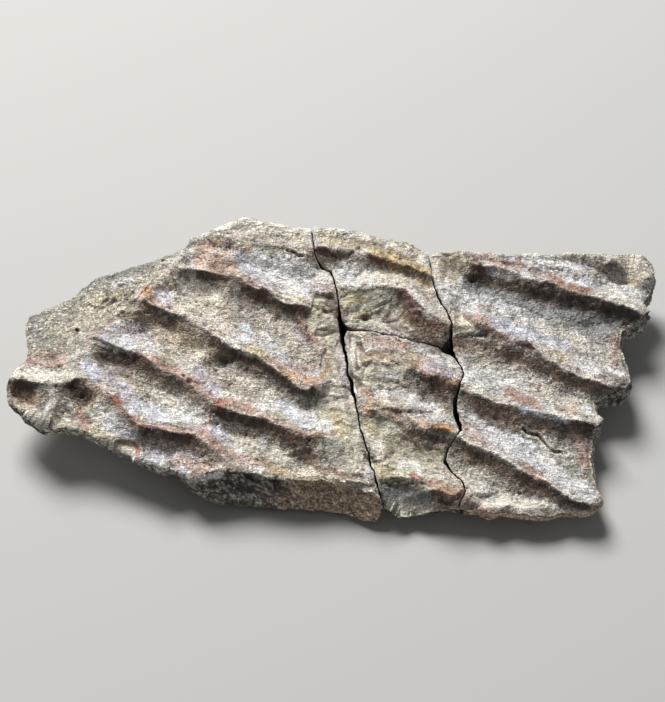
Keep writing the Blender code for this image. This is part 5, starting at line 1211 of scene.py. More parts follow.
def fine_relief(x, y, fields):
    """Height of the fine relief: fibres, wrinkles, pores in the outer layer and spongy grains."""
    along, across = along_ridges(x, y)
    bone = 0.15 * fractal(x, y, 2.4, 31) + 0.05 * noise(along, 0.8 * across, 0.9, 35)
    bone += 0.02 * fractal(x, y, 0.55, 42, 2)
    bone += 0.05 * hairs(x, y, *LIGHT_HAIRS) - 0.07 * hairs(x, y, *DARK_HAIRS)
    wrinkles = -0.09 * hairs(along, 1.5 * across, 2.2, 36) - 0.07 * hairs(1.4 * along, across, 1.3, 37)
    ribs = 0.14 * noise(0.4 * along, 1.3 * across, 0.8, 38) + 0.07 * noise(0.6 * along, 1.2 * across, 0.4, 39)
    knobs = 0.17 * noise(along, across, 1.2, 40)
    peeled, _, _ = peeled_layers(along, across)
    bone += 0.08 * peeled
    near, _, _, _, _ = cells(x, y, 1.5, 41)
    pores = -0.22 * smooth_step(1.0 - near / 0.34) * smooth_step(1.2 * noise(x, y, 5.0, 44) + 0.5)
    bone = bone + wrinkles + fields["wall"] * ribs + fields["crest"] * knobs + pores * (1.0 - fields["crest"])
    coarse, _, _, _, coarse_own = cells(x, y, 1.5, 51)
    grain, _, _, _, own = cells(x, y, *GRAINS)
    spongy = 0.28 * (1.0 - coarse / 0.8) * coarse_own + 0.20 * (1.0 - grain / 0.32) * own
    spongy = spongy + 0.22 * fractal(x, y, 3.2, 57)
    edge, _ = nearest_on_line(x, y, ORNAMENT_EDGE)
    spongy = spongy + 0.14 * noise(edge, 0.25 * along, 0.55, 61) * smooth_step((x - STRIPES_FROM) / 2.0)
    flaked = 0.05 * fractal(x, y, 1.2, 64) + 0.03 * noise(x, y, 0.35, 67)
    relief = bone + (flaked - bone) * 0.75 * fields["flaked"]
    return relief + (spongy - relief) * fields["broken"]


def pits(x, seen_y):
    """Depth of the pores."""
    depth = np.zeros(x.shape)
    for centre_x, centre_y, radius, deep in PORES:
        share = np.hypot(x - centre_x, (seen_y - centre_y) * 1.15) / radius
        depth = np.maximum(depth, deep * smooth_step(1.25 * (1.0 - share) + 0.1))
    return depth


def crack_depth(x, y):
    """Depth of the cracks that stop inside the bone, and the light brink along them."""
    depth = np.zeros(x.shape)
    brink = np.zeros(x.shape)
    for line in grounded_cracks:
        distance, _ = nearest_on_line(x, y, line)
        taper = 0.7 + 0.3 * smooth_step(from_ends(x, y, line) / 0.8)
        share = np.clip(1.0 - np.abs(distance) / (PARTIAL_CRACK_HALF_WIDTH * taper), 0.0, 1.0)
        depth = np.maximum(depth, PARTIAL_CRACK_DEPTH * smooth_step(1.6 * share) * taper)
        brink = np.maximum(brink, np.exp(-((np.abs(distance) - 0.4) / 0.13) ** 2))
    return depth, brink


def outer_face(x, y):
    """Full height of the outer face, and its fields with the relief's share of the height."""
    height, fields = smooth_face(x, y)
    seen_y = read_y(x, y, height)
    drop = chipped(x, seen_y, fields)
    relief = fine_relief(x, y, fields) - pits(x, seen_y)
    cut, fields["brink"] = crack_depth(x, y)
    fields["cut"] = cut
    fields["calm"] = np.zeros(x.shape)
    fields["relief"] = relief - cut
    return height - drop + relief - cut, fields


def ground(line):
    """Plan points whose marks are read on the crest level at the given points."""
    line = np.array(line, float)
    x = line[:, 0]
    y = line[:, 1].copy()
    for _ in range(12):
        height, _ = smooth_face(x, y)
        y = 0.5 * y + 0.5 * (line[:, 1] + SLANT * (crest_level(x, y) - height))
    return np.column_stack((x, y))


def inner_face(x, y, rim):
    """Height of the inner face, which rises to the underside of the rim."""
    out = np.hypot((x - REST_CENTRE[0]) / REST_RADII[0], (y - REST_CENTRE[1]) / REST_RADII[1])
    base = REST_RISE * np.maximum(out - 1.0, 0.0) ** 1.3
    tip = np.maximum(TIP_START - x, 0.0) / TIP_LENGTH
    base = base + TIP_RISE * tip ** 1.4
    base = base + 0.12 * (1.0 + noise(x, y, 2.6, 91)) * smooth_step(4.0 * (out - 1.0))
    base = np.minimum(base, crest_level(x, y) - LEAST_DEPTH)
    distance, (depth,) = nearest_on_line(x, y, rim)
    lip = np.maximum(crest_level(x, y) - depth, base)
    blend = smooth_step(np.abs(distance) / UNDERCUT_WIDTH)
    base = np.where(out < 1.0, base, lip + (base - lip) * blend)
    outer, _ = smooth_face(x, y)
    return np.minimum(base, outer - EDGE_ROUNDING - LEAST_THICKNESS)


def resample(line, step):
    """Points at even steps along an open line, its corners kept."""
    points = []
    for start, end in zip(line[:-1], line[1:]):
        count = max(1, round(math.dist(start[:2], end[:2]) / step))
        for index in range(count):
            share = index / count
            points.append([a + (b - a) * share for a, b in zip(start, end)])
    points.append(list(line[-1]))
    return np.array(points)


def crack_side(crack, side):
    """One wall of a crack: side 1 is the wall on its left, -1 the wall on its right."""
    line = np.array(crack, float)
    width = line[:, 2:3] - CRACK_NARROWING
    return line[:, :2] + side * leftward(line[:, :2]) * width * 0.5


def closed_outline(*parts):
    """One closed, ragged outline from open lines that follow each other: x, y, the foot's reach."""
    points = []
    for part in parts:
        for point in part:
            reach = point[3] if len(point) > 3 else 0.0
            points.append((point[0], point[1], reach))
    points.append(points[0])
    line = resample(points, OUTLINE_STEP)[:-1]
    x = line[:, 0].copy()
    y = line[:, 1].copy()
    line[:, 0] += 0.16 * noise(x, y, 1.5, 81) + 0.07 * noise(x, y, 0.6, 82)
    line[:, 1] += 0.16 * noise(x, y, 1.5, 83) + 0.07 * noise(x, y, 0.6, 84)
    return line


def slanted_grid(outline, step, margin):
    """Staggered points inside an outline, in rows that follow the ridges."""
    u, v = along_ridges(outline[:, 0], outline[:, 1])
    rows = np.arange(math.floor(v.min() / step), math.ceil(v.max() / step) + 1)
    columns = np.arange(math.floor(u.min() / step), math.ceil(u.max() / step) + 1)
    column, row = np.meshgrid(columns, rows)
    pu = (column + 0.5 * (row % 2)).ravel() * step
    pv = row.ravel() * step * 0.9
    cosine = math.cos(RIDGE_ANGLE)
    sine = math.sin(RIDGE_ANGLE)
    x = pu * cosine - pv * sine
    y = pu * sine + pv * cosine
    near = (x > outline[:, 0].min()) & (x < outline[:, 0].max())
    near &= (y > outline[:, 1].min()) & (y < outline[:, 1].max())
    x = x[near]
    y = y[near]
    kept = inside(x, y, outline[:, :2]) > margin
    return np.column_stack((x[kept], y[kept]))


def crack_lines(outline):
    """Points along the bottoms and lips of partial cracks in an outline, and the edges between."""
    points = []
    edges = []
    for line in grounded_cracks:
        for side in (-1.0, 0.0, 1.0):
            run = resample(line + side * PARTIAL_CRACK_HALF_WIDTH * leftward(line), LINE_STEP)
            kept = inside(run[:, 0], run[:, 1], outline[:, :2]) > LINE_MARGIN
            for index, point in enumerate(run):
                if not kept[index]:
                    continue
                if index and kept[index - 1]:
                    edges.append((len(points) - 1, len(points)))
                points.append(point)
    return np.array(points).reshape(-1, 2), edges


def clear_of(points, others, margin):
    """Those points that no other point is nearer to than the margin."""
    if not len(others):
        return points
    tree = KDTree(len(others))
    for index, (x, y) in enumerate(others):
        tree.insert((x, y, 0.0), index)
    tree.balance()
    kept = [tree.find((x, y, 0.0))[2] > margin for x, y in points]
    return points[kept]


def in_front(y):
    """How far a place belongs to the broken front face, 0 to 1."""
    return smooth_step((FRONT_FACE_Y - y) / FRONT_FACE_FADE)


def triangulate(outline, interior, edges):
    """Fill an outline over interior points: plan points with the outline's first, and triangles."""
    count = len(outline)
    points = [Vector(point) for point in np.vstack((outline, interior))]
    lines = [(first + count, second + count) for first, second in edges]
    filled = delaunay_2d_cdt(points, lines, [tuple(range(count))], 1, 1e-7)
    plan = np.array([tuple(point) for point in filled[0]])
    rank = {}
    for index, origins in enumerate(filled[3]):
        for origin in origins:
            if origin < count:
                rank.setdefault(origin, index)
    order = [rank[index] for index in range(count)]
    taken = set(order)
    order += [index for index in range(len(plan)) if index not in taken]
    place = {index: position for position, index in enumerate(order)}
    faces = [[place[index] for index in face] for face in filled[2]]
    return plan[order], faces


def broken_wall(head, foot, top_height, base_height, outer):
    """Rows of points down a broken wall between the ring at its head and the ring at its foot."""
    step = np.roll(head, -1, axis=0) - np.roll(head, 1, axis=0)
    step /= np.linalg.norm(step, axis=1)[:, None]
    inward = np.column_stack((-step[:, 1], step[:, 0]))
    distance = np.cumsum(np.linalg.norm(head - np.roll(head, 1, axis=0), axis=1))
    tall = outer * smooth_step((top_height - base_height - 1.5) / 3.0)
    from_sides = np.minimum(head[:, 0] - UNDER_LIP_LEFT, UNDER_LIP_RIGHT - head[:, 0])
    under_lip = tall * smooth_step(from_sides / UNDER_LIP_FADE) * in_front(head[:, 1])
    under_lip = under_lip * (0.75 + 0.6 * noise(distance, distance, 3.1, 97))
    even = head
    for _ in range(9):
        even = (np.roll(even, 1, axis=0) + even + np.roll(even, -1, axis=0)) / 3.0
    even = (even - head) * outer[:, None]
    rows = []
    for row in range(1, WALL_ROWS):
        share = row / WALL_ROWS
        z = top_height + (base_height - top_height) * share
        plan = head + (foot - head) * smooth_step(share * 1.15)
        bend = 0.6 * noise(distance, z, 4.0, 93)
        layers = noise(0.3 * distance, z + bend, 0.9, 94) + 0.6 * noise(0.5 * distance, z + bend, 0.5, 95)
        lumps = fractal(distance, z, 1.9, 96, 2) + 0.4 * noise(distance, z, 0.7, 99)
        fade = smooth_step(6.0 * share) * smooth_step(4.0 * (1.0 - share))
        rough = 0.08 + 0.1 * outer + WALL_ROUGHNESS * tall
        push = rough * fade * (0.4 + 0.4 * layers + 0.35 * lumps)
        hollow = smooth_step(share / 0.12) * smooth_step((0.5 - share) / 0.3)
        push = push + UNDER_LIP_DEPTH * under_lip * hollow
        level = smooth_step(share / 0.2) * smooth_step((1.0 - share) / 0.2)
        plan = plan + even * level + inward * push[:, None]
        plan[:, 0] += CRACK_BEND * math.sin(math.pi * share)
        rows.append(np.column_stack((plan, z)))
    return rows


def tinge(colour, name, share):
    """Move colours towards a named bone colour by a share that is kept from 0 to 1."""
    share = np.clip(share, 0.0, 1.0)[:, None]
    colour[:] = colour + (np.array(COLOURS[name]) - colour) * share


def paint_bone(mix, x, y, fields, blotch, patch, speck):
    """Colours of the outer bone: pale, blue back slopes as painted light, mauve crests, dull grooves, and
    painted shade on the walls under the crests.
    """
    low = (1.0 - fields["field"]) * (1.0 - fields["back"])
    mix("grey", 0.18 + 0.35 * blotch + 0.2 * speck)
    mix("tan", 0.02 + 0.45 * patch)
    # Painted light: the back slopes, which face the key light, are pale and blue.
    mix("pale", fields["back"] * (0.60 + 0.6 * blotch + 0.4 * patch))
    mix("blue", fields["back"] * (0.20 + 0.8 * noise(x, y, 3.1, 115)))
    mix("tan", (1.0 - fields["back"]) * 0.8 * noise(x, y, 3.6, 125))
    mix("lilac", 0.9 * noise(x, y, 3.9, 127) - 0.1)
    mix("yellow", 0.9 * noise(x, y, 1.7, 167) - 0.05)
    mix("blue", 1.0 * noise(x, y, 1.5, 168) - 0.1)
    mix("pink", 0.9 * noise(x, y, 1.6, 169) - 0.15)
    mix("blue", BLUE_SHARE * smooth_step((x - BLUE_START) / BLUE_FADE))
    mix("olive", low * (0.45 + 0.6 * patch))
    mix("grey", low * (0.50 + 0.7 * blotch))
    # Painted shade on the walls under the crests: brown, umber, maroon and near black.
    wall = fields["wall"]
    mix("brown", wall * (0.75 + 0.5 * patch + 0.5 * speck))
    mix("umber", wall ** 2 * (0.85 + 0.8 * noise(x, y, 2.6, 117) + 0.5 * speck))
    mix("maroon", wall ** 2 * (1.6 * noise(x, y, 3.3, 116) - 0.1))
    mix("shadow", wall ** 3 * (0.75 + 0.9 * noise(x, y, 2.1, 118) + 0.4 * fractal(x, y, *FLECKS)))
    crest = fields["crest"]
    mix("mauve", crest * (0.40 + 0.7 * noise(x, y, 2.8, 119) + 0.4 * speck))
    mix("rust", crest * (0.8 * noise(x, y, 2.0, 121) + 0.6 * speck - 0.35))
    mix("ivory", crest * (0.7 * noise(x, y, 1.6, 123) + 0.15))


def paint_texture(mix, x, y, fields):
    """Peeled layers, painted highlights along the crests, fibres and hair lines of the outer bone."""
    along, across = along_ridges(x, y)
    peeled, dark, light = peeled_layers(along, across)
    whole = np.floor(peeled + 0.5)
    own = scattered(whole, whole, 181)
    ridged = (1.0 - fields["broken"]) * smooth_step(0.7 + 1.2 * noise(x, y, 4.0, 182))
    mix("ivory", 0.45 * smooth_step(3.0 * (own - 0.6)) * ridged)
    mix("tan", 0.40 * smooth_step(3.0 * (0.3 - own)) * ridged)
    mix("umber", 0.7 * dark * ridged)
    mix("ivory", 0.6 * light * ridged)
    # Painted highlight along the crests.
    mix("ivory", fields["painted_highlight"] * (0.75 + 0.9 * noise(x, y, 1.3, 183)))
    fibre = noise(along, 3.0 * across, 0.9, 161) + 0.7 * noise(1.3 * along, 4.0 * across, 0.7, 162)
    mix("ivory", 0.5 * smooth_step(1.6 * fibre - 0.5) * (1.0 - fields["wall"]))
    mix("brown", 0.35 * smooth_step(-1.6 * fibre - 0.7))
    mix("umber", 0.8 * hairs(along, 1.5 * across, 1.8, 163) * smooth_step(0.3 + noise(x, y, 2.3, 164)))
    mix("umber", 0.4 * hairs(x, y, *DARK_HAIRS) * smooth_step(0.7 + 1.4 * noise(x, y, 3.4, 186)))
    mix("pale", 0.4 * hairs(x, y, *LIGHT_HAIRS) * smooth_step(0.7 + 1.4 * noise(x, y, 3.1, 185)))
    bright = 0.7 * hairs(x, y, 1.4, 165) * smooth_step(0.5 + noise(x, y, 2.5, 166))
    mix("ivory", bright * (1.0 - fields["wall"]))


def paint_spongy(mix, x, y, spongy, blotch):
    """Colours of the broken spongy bone, whose grains are light or grey."""
    grain, _, _, _, own = cells(x, y, *GRAINS)
    mix("sage", spongy * 0.6)
    mix("olive", spongy * (0.15 + 0.6 * blotch))
    mix("grey", spongy * smooth_step(2.2 * (grain / 0.36 - 0.55)) * 0.8)
    mix("ivory", spongy * smooth_step(3.0 * (own - 0.55)) * smooth_step(2.0 * (1.0 - grain / 0.34)) * 0.9)


def paint_flaked(mix, fields, blotch, patch, speck):
    """Colours of the chips, whose facets differ in tone, and of the edges: dark seams and painted shadow
    below the flake steps, and light beside the seams with painted highlight on the flake lips and the crack
    brinks.
    """
    flaked = fields["flaked"]
    tone = fields["tone"]
    mix("cream", flaked * 0.85)
    mix("calcite", flaked * (0.25 + 0.4 * blotch))
    mix("ivory", flaked * smooth_step(2.4 * tone) * 0.8)
    mix("olive", flaked * smooth_step(-2.2 * tone) * 0.25)
    mix("brown", flaked * smooth_step(1.6 * patch - 0.6) * 0.25)
    mix("ivory", fields["lip"] * 0.8)
    mix("umber", fields["edge"] * (0.55 + 0.5 * speck))


def paint_stains(mix, x, y, seen, fields):
    """Stains with ragged, mottled edges. Those of the calm colours are added to the calm field."""
    mottle = 0.7 * fractal(x, y, 0.9, 151)
    ragged_x = x + 0.35 * noise(x, seen, 1.1, 131) + 0.16 * noise(x, seen, 0.45, 132)
    ragged_y = seen + 0.35 * noise(x, seen, 1.1, 133) + 0.16 * noise(x, seen, 0.45, 134)
    for name, radius, strength, line in STAINS:
        line = np.array(line)
        near = close_by(x, seen, line, radius * 1.5 + 0.6)
        if not near.any():
            continue
        distance, _ = nearest_on_line(ragged_x[near], ragged_y[near], line)
        share = np.zeros(len(x))
        solid = 1.4 * (1.0 - np.abs(distance) / radius) + min(radius, 1.0) * mottle[near] + 0.3
        crisp = 2.2 if radius < 1.2 else 1.3
        share[near] = strength * smooth_step(crisp * (solid - 0.5) + 0.5)
        mix(name, share)
        if name in CALM_STAINS:
            fields["calm"] = np.maximum(fields["calm"], share)


def paint(x, y, z, fields):
    """Colour of the bone at each point. The stains may add to the calm field."""
    along, across = along_ridges(x, y)
    blotch = fractal(x, y, 4.5, 101)
    patch = fractal(along, 1.4 * across, 2.2, 105)
    speck = fractal(x, y, 0.75, 109)
    colour = np.tile(np.array(COLOURS["cream"]), (len(x), 1))

    def mix(name, share):
        tinge(colour, name, share)

    paint_bone(mix, x, y, fields, blotch, patch, speck)
    paint_texture(mix, x, y, fields)
    paint_spongy(mix, x, y, fields["broken"], blotch)
    paint_flaked(mix, fields, blotch, patch, speck)
    paint_stains(mix, x, y, read_y(x, y, z), fields)
    # Painted shade in the hollows of the fine relief and painted light on its bumps, times a random tone, and
    # painted shade on the walls under the crests.
    shade = 1.0 + 1.3 * np.clip(fields["relief"], -0.45, 0.25)
    tone = 1.0 + 0.06 * speck + 0.06 * fractal(x, y, *FLECKS) + 0.14 * patch
    shade = shade * tone * (1.0 - 0.6 * fields["wall"])
    colour[:] = np.clip(colour * shade[:, None], DARKEST, LIGHTEST)
    # A light brink beside the partial cracks, and painted shade inside them.
    mix("ivory", 0.8 * fields["brink"])
    mix("shadow", 1.6 * smooth_step(fields["cut"] / 0.25))
    colour[:] = colour * (1.0 - 0.7 * smooth_step(fields["cut"] / 0.4))[:, None]
    return colour


def wall_fields(count, relief, dark):
    """Fields for the points of a broken wall or of the inner face, with painted shade as dark as given."""
    flat = np.zeros(count)
    names = ("field", "crest", "back", "broken", "painted_highlight", "flaked", "tone", "edge", "lip", "cut", "calm",
             "brink")
    return dict.fromkeys(names, flat) | {"wall": flat + dark, "relief": relief}


def speckle(wall, outer, colour):
    """Light grains and dark gaps of the broken outer walls."""
    around = wall[:, 0] + wall[:, 1]
    for size, seed in ((0.85, 171), (0.5, 175)):
        near, _, _, _, own = cells(around, 1.2 * wall[:, 2], size, seed)
        patch = noise(around, wall[:, 2], 2.2, seed + 3)
        light = smooth_step(3.0 * (own - 0.5) + patch) * smooth_step(2.4 * (1.0 - near / (0.55 * size)))
        gap = smooth_step(2.4 * (near / (0.55 * size) - 0.75))
        tinge(colour, "ivory", outer * (0.75 * light))
        tinge(colour, "shadow", outer * (0.8 * gap))


def wall_paint(wall, outer):
    """Colour of the broken walls: painted shade in the cracks, and painted light, towards cream, on parts of
    the front face.
    """
    rough = 0.12 * fractal(wall[:, 0] + wall[:, 1], wall[:, 2], 0.9, 141)
    colour = paint(wall[:, 0], wall[:, 1], wall[:, 2], wall_fields(len(wall), rough, 0.3))
    # Painted shade: the walls inside the cracks are darker than those at the outer edge.
    colour *= (0.35 + 0.65 * outer)[:, None]
    # Painted light: parts of the front face are lightened towards cream.
    painted_light_share = smooth_step((wall[:, 0] - PAINTED_LIGHT_LEFT) / PAINTED_LIGHT_LEFT_FADE) * (wall[:, 0] < PAINTED_LIGHT_STOP)
    painted_light_share = np.maximum(painted_light_share, smooth_step((wall[:, 0] - PAINTED_LIGHT_RIGHT) / PAINTED_LIGHT_RIGHT_FADE))
    front = in_front(wall[:, 1]) * outer * painted_light_share
    colour = np.minimum(colour * (1.0 + np.outer(front, FRONT_PAINTED_LIGHT)), FRONT_LIMIT)
    speckle(wall, outer * (1.0 - 0.45 * front), colour)
    return colour


def planar(points, low, high, corner, size):
    """Texture places for points seen from above, in one rectangle of the texture."""
    scale = size / max(high[0] - low[0], high[1] - low[1])
    return np.column_stack((corner[0] + (points[:, 0] - low[0]) * scale,
                            corner[1] + (points[:, 1] - low[1]) * scale))


def rounded(x, y, height, head, rim):
    """Height of the outer face, rounded at the rim and the cracks, and how near its brink is."""
    rim_distance, _ = nearest_on_line(x, y, rim)
    ring_distance, _ = nearest_on_line(x, y, np.vstack((head, head[:1])))
    near_rim = 1.0 - smooth_step(np.abs(rim_distance) / EDGE_ROUNDING_WIDTH)
    near_crack = 1.0 - smooth_step(np.abs(ring_distance) / CRACK_ROUNDING_WIDTH)
    height = height - EDGE_ROUNDING * near_rim - CRACK_ROUNDING * near_crack * (1.0 - near_rim)
    return height, 1.0 - smooth_step((np.abs(ring_distance) - 0.05) / 0.3)


def wall_faces(starts, count):
    """Faces between the rings of points down a wall, from the first point of each ring."""
    now = np.arange(count)
    after = (now + 1) % count
    faces = []
    for upper, lower in zip(starts[:-1], starts[1:]):
        faces += np.column_stack((now + upper, now + lower, after + lower, after + upper)).tolist()
    return faces


def fragment(name, outline, rim, material):
    """One closed fragment, finely modelled and painted."""
    count = len(outline)
    head = outline[:, :2]
    foot = head - np.column_stack((np.zeros(count), outline[:, 2]))
    line_points, line_edges = crack_lines(outline)
    grid = clear_of(slanted_grid(outline, FACE_STEP, FACE_MARGIN), line_points, FACE_MARGIN)
    top_plan, top_faces = triangulate(head, np.vstack((line_points, grid)), line_edges)
    base_plan, base_faces = triangulate(foot, slanted_grid(foot, BASE_STEP, BASE_MARGIN), [])
    x = top_plan[:, 0]
    y = top_plan[:, 1]
    height, fields = outer_face(x, y)
    height, brink = rounded(x, y, height, head, rim)
    base_height = inner_face(base_plan[:, 0], base_plan[:, 1], rim)
    rim_distance, _ = nearest_on_line(head[:, 0], head[:, 1], rim)
    outer = 1.0 - smooth_step((np.abs(rim_distance) - 0.4) / 0.5)
    rows = broken_wall(head, foot, height[:count], base_height[:count], outer)
    top = np.column_stack((top_plan, height))
    base = np.column_stack((base_plan, base_height))
    wall = np.vstack(rows)
    points = np.vstack((top, base, wall))
    points[:, 2] = np.maximum(points[:, 2], 0.0)
    below = len(top) + len(base)
    starts = [0] + [below + index * count for index in range(len(rows))] + [len(top)]
    faces = list(top_faces)
    faces += [[index + len(top) for index in reversed(face)] for face in base_faces]
    faces += wall_faces(starts, count)

    fields["lip"] = np.maximum(fields["lip"], brink * smooth_step(0.7 + 1.5 * noise(x, y, 1.7, 187)))
    top_colour = paint(x, y, height, fields)
    # The inner face takes a little painted shade through the wall field.
    base_fields = wall_fields(len(base), np.zeros(len(base)), 0.2)
    base_colour = paint(base_plan[:, 0], base_plan[:, 1], base_height, base_fields)
    share_outer = np.tile(outer, len(rows))
    colour = np.vstack((top_colour, base_colour, wall_paint(wall, share_outer)))
    spongy = np.concatenate((fields["broken"], np.zeros(len(base)), 0.5 * share_outer))
    calm = 0.5 * np.maximum(fields["back"], fields["crest"])
    calm = calm * smooth_step(0.7 + 1.2 * noise(x, y, 3.0, 145))
    calm = np.maximum(calm, 0.6 * np.maximum(fields["flaked"], fields["calm"]))
    smooth = np.concatenate((calm, np.zeros(len(base) + len(wall))))

    mesh = bpy.data.meshes.new(name + "_surface")
    mesh.from_pydata([tuple(point) for point in (points - (*PLATE_CENTRE, 0.0)) * MM], [], faces)
    mesh.validate()
    mesh.shade_smooth()
    tint = mesh.attributes.new("tint", "FLOAT_COLOR", "POINT")
    tint.data.foreach_set("color", np.column_stack((colour, np.ones(len(colour)))).ravel())
    for attribute, values in (("spongy", spongy), ("smooth", smooth)):
        mesh.attributes.new(attribute, "FLOAT", "POINT").data.foreach_set("value", values)
    add_texture_places(mesh, points, count, len(top_faces), len(base_faces))
    mesh.materials.append(material)
    piece = bpy.data.objects.new(name + "_surface", mesh)
    bpy.context.scene.collection.objects.link(piece)
    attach(piece, "root")
    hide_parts(name)


def add_texture_places(mesh, points, ring, top_faces, base_faces):
    """Texture places for the export: the outer face, the inner face and the wall side by side."""
    low = points[:, :2].min(axis=0)
    high = points[:, :2].max(axis=0)
    places = planar(points, low, high, *OUTER_PLACE)
    under = planar(points, low, high, *INNER_PLACE)
    corner_vertex = np.zeros(len(mesh.loops), int)
    mesh.loops.foreach_get("vertex_index", corner_vertex)
    sizes = np.zeros(len(mesh.polygons), int)
    mesh.polygons.foreach_get("loop_total", sizes)
    face_of = np.repeat(np.arange(len(sizes)), sizes)
    result = places[corner_vertex]
    in_base = (face_of >= top_faces) & (face_of < top_faces + base_faces)
    result[in_base] = under[corner_vertex[in_base]]
    in_wall = face_of >= top_faces + base_faces
    wall_face = face_of[in_wall] - top_faces - base_faces
    row = wall_face // ring
    column = wall_face % ring
    corner = np.tile(np.arange(4), len(wall_face) // 4)
    (left, top), (width, tall) = WALL_PLACE
    result[in_wall, 0] = left + width * (column + (corner >= 2)) / ring
    result[in_wall, 1] = top - tall * (row + ((corner == 1) | (corner == 2))) / WALL_ROWS
    layer = mesh.uv_layers.new(name="OFBake")
    layer.data.foreach_set("uv", result.ravel())


def bone_material():
    """Fossil bone: the painted tint broken up by fine specks, fibres, grains and a satin sheen."""
    made = bpy.data.materials.new("fossil_bone")
    made.use_nodes = True
    nodes = made.node_tree.nodes
    links = made.node_tree.links
    shader = nodes["Principled BSDF"]

    def node(kind, **settings):
        new = nodes.new(kind)
        for key, value in settings.items():
            setattr(new, key, value)
        return new

    def link(source, target):
        links.new(source, target)

    def texture_noise(vector, scale, detail, rough):
        new = node("ShaderNodeTexNoise")
        new.inputs["Scale"].default_value = scale
        new.inputs["Detail"].default_value = detail
        new.inputs["Roughness"].default_value = rough
        link(vector, new.inputs["Vector"])
        return new.outputs["Fac"]

    def ramp(source, low, high, low_value, high_value):
        new = node("ShaderNodeMapRange")
        new.inputs["From Min"].default_value = low
        new.inputs["From Max"].default_value = high
        new.inputs["To Min"].default_value = low_value
        new.inputs["To Max"].default_value = high_value
        link(source, new.inputs["Value"])
        return new.outputs["Result"]

    def math_node(kind, first, second):
        new = node("ShaderNodeMath", operation=kind)
        for index, value in enumerate((first, second)):
            if isinstance(value, float):
                new.inputs[index].default_value = value
            else:
                link(value, new.inputs[index])
        return new.outputs[0]

    def mixed(kind, share, first, second):
        new = node("ShaderNodeMix", data_type="RGBA", blend_type=kind)
        if isinstance(share, float):
            new.inputs[0].default_value = share
        else:
            link(share, new.inputs[0])
        for index, value in ((6, first), (7, second)):
            if isinstance(value, tuple):
                new.inputs[index].default_value = (*value, 1.0)
            else:
                link(value, new.inputs[index])
        return new.outputs[2]

    def crease(source, level, narrow, wide, strength):
        """Lines along which a texture passes a level."""
        away = math_node("ABSOLUTE", math_node("SUBTRACT", source, level), 0.0)
        return ramp(away, narrow, wide, strength, 0.0)

    # Texture scales are features per metre. "Smooth" places show less of every texture.
    place = node("ShaderNodeTexCoord").outputs["Object"]
    stretch = node("ShaderNodeMapping")
    stretch.inputs["Rotation"].default_value = (0.0, 0.0, FIBRE_ANGLE)
    stretch.inputs["Scale"].default_value = FIBRE_STRETCH
    link(place, stretch.inputs["Vector"])
    tint = node("ShaderNodeAttribute", attribute_name="tint").outputs["Color"]
    spongy = node("ShaderNodeAttribute", attribute_name="spongy").outputs["Fac"]
    smooth = node("ShaderNodeAttribute", attribute_name="smooth").outputs["Fac"]

    coarse = texture_noise(place, 3200.0, 1.0, 0.6)
    fine = texture_noise(place, 6200.0, 0.0, 0.5)
    fibre = texture_noise(stretch.outputs["Vector"], 2600.0, 3.0, 0.65)
    dirt = texture_noise(place, 1100.0, 5.0, 0.8)
    wrinkle = texture_noise(stretch.outputs["Vector"], 900.0, 2.0, 0.5)
    line = crease(wrinkle, 0.5, 0.012, 0.045, 1.0)
    hair = crease(texture_noise(place, 1000.0, 1.0, 0.5), 0.52, 0.01, 0.04, 0.6)
    worm = crease(texture_noise(place, 1700.0, 1.0, 0.5), 0.47, 0.01, 0.05, 0.5)
    grains = node("ShaderNodeTexVoronoi")
    grains.inputs["Scale"].default_value = 2300.0
    link(place, grains.inputs["Vector"])

    speck = texture_noise(place, 3100.0, 0.0, 0.5)
    speckled = ramp(texture_noise(place, 420.0, 2.0, 0.6), 0.42, 0.58, 0.35, 1.0)
    darker = math_node("MULTIPLY", speckled, math_node("ADD", ramp(speck, 0.60, 0.68, 0.0, 0.65), worm))
    lighter = math_node("ADD", ramp(speck, 0.40, 0.32, 0.0, 0.45), hair)
    light = ramp(coarse, 0.36, 0.64, 0.80, 1.20)
    for factor in (ramp(fine, 0.34, 0.66, 0.62, 1.38), ramp(fibre, 0.36, 0.64, 0.84, 1.16),
                   ramp(darker, 0.0, 1.0, 1.0, 0.34), ramp(lighter, 0.0, 1.0, 1.0, 1.60),
                   ramp(line, 0.0, 1.0, 1.0, 0.45)):
        light = math_node("MULTIPLY", light, factor)
    colour = mixed("MULTIPLY", ramp(smooth, 0.0, 1.0, 0.95, 0.45), tint, light)
    soil = math_node("MULTIPLY", ramp(dirt, 0.53, 0.64, 0.0, 0.45), ramp(smooth, 0.0, 1.0, 1.0, 0.3))
    colour = mixed("MIX", soil, colour, SOIL_COLOUR)
    dark_grain = math_node("MULTIPLY", spongy, ramp(grains.outputs["Distance"], 0.35, 0.62, 0.0, 0.5))
    colour = mixed("MIX", dark_grain, colour, GRAIN_GAP_COLOUR)
    link(colour, shader.inputs["Base Color"])

    gloss = math_node("ADD", ramp(coarse, 0.3, 0.7, 0.36, 0.62), ramp(spongy, 0.0, 1.0, 0.0, 0.16))
    gloss = math_node("SUBTRACT", gloss, ramp(smooth, 0.0, 1.0, 0.0, 0.10))
    link(gloss, shader.inputs["Roughness"])
    shader.inputs["Specular IOR Level"].default_value = 0.5

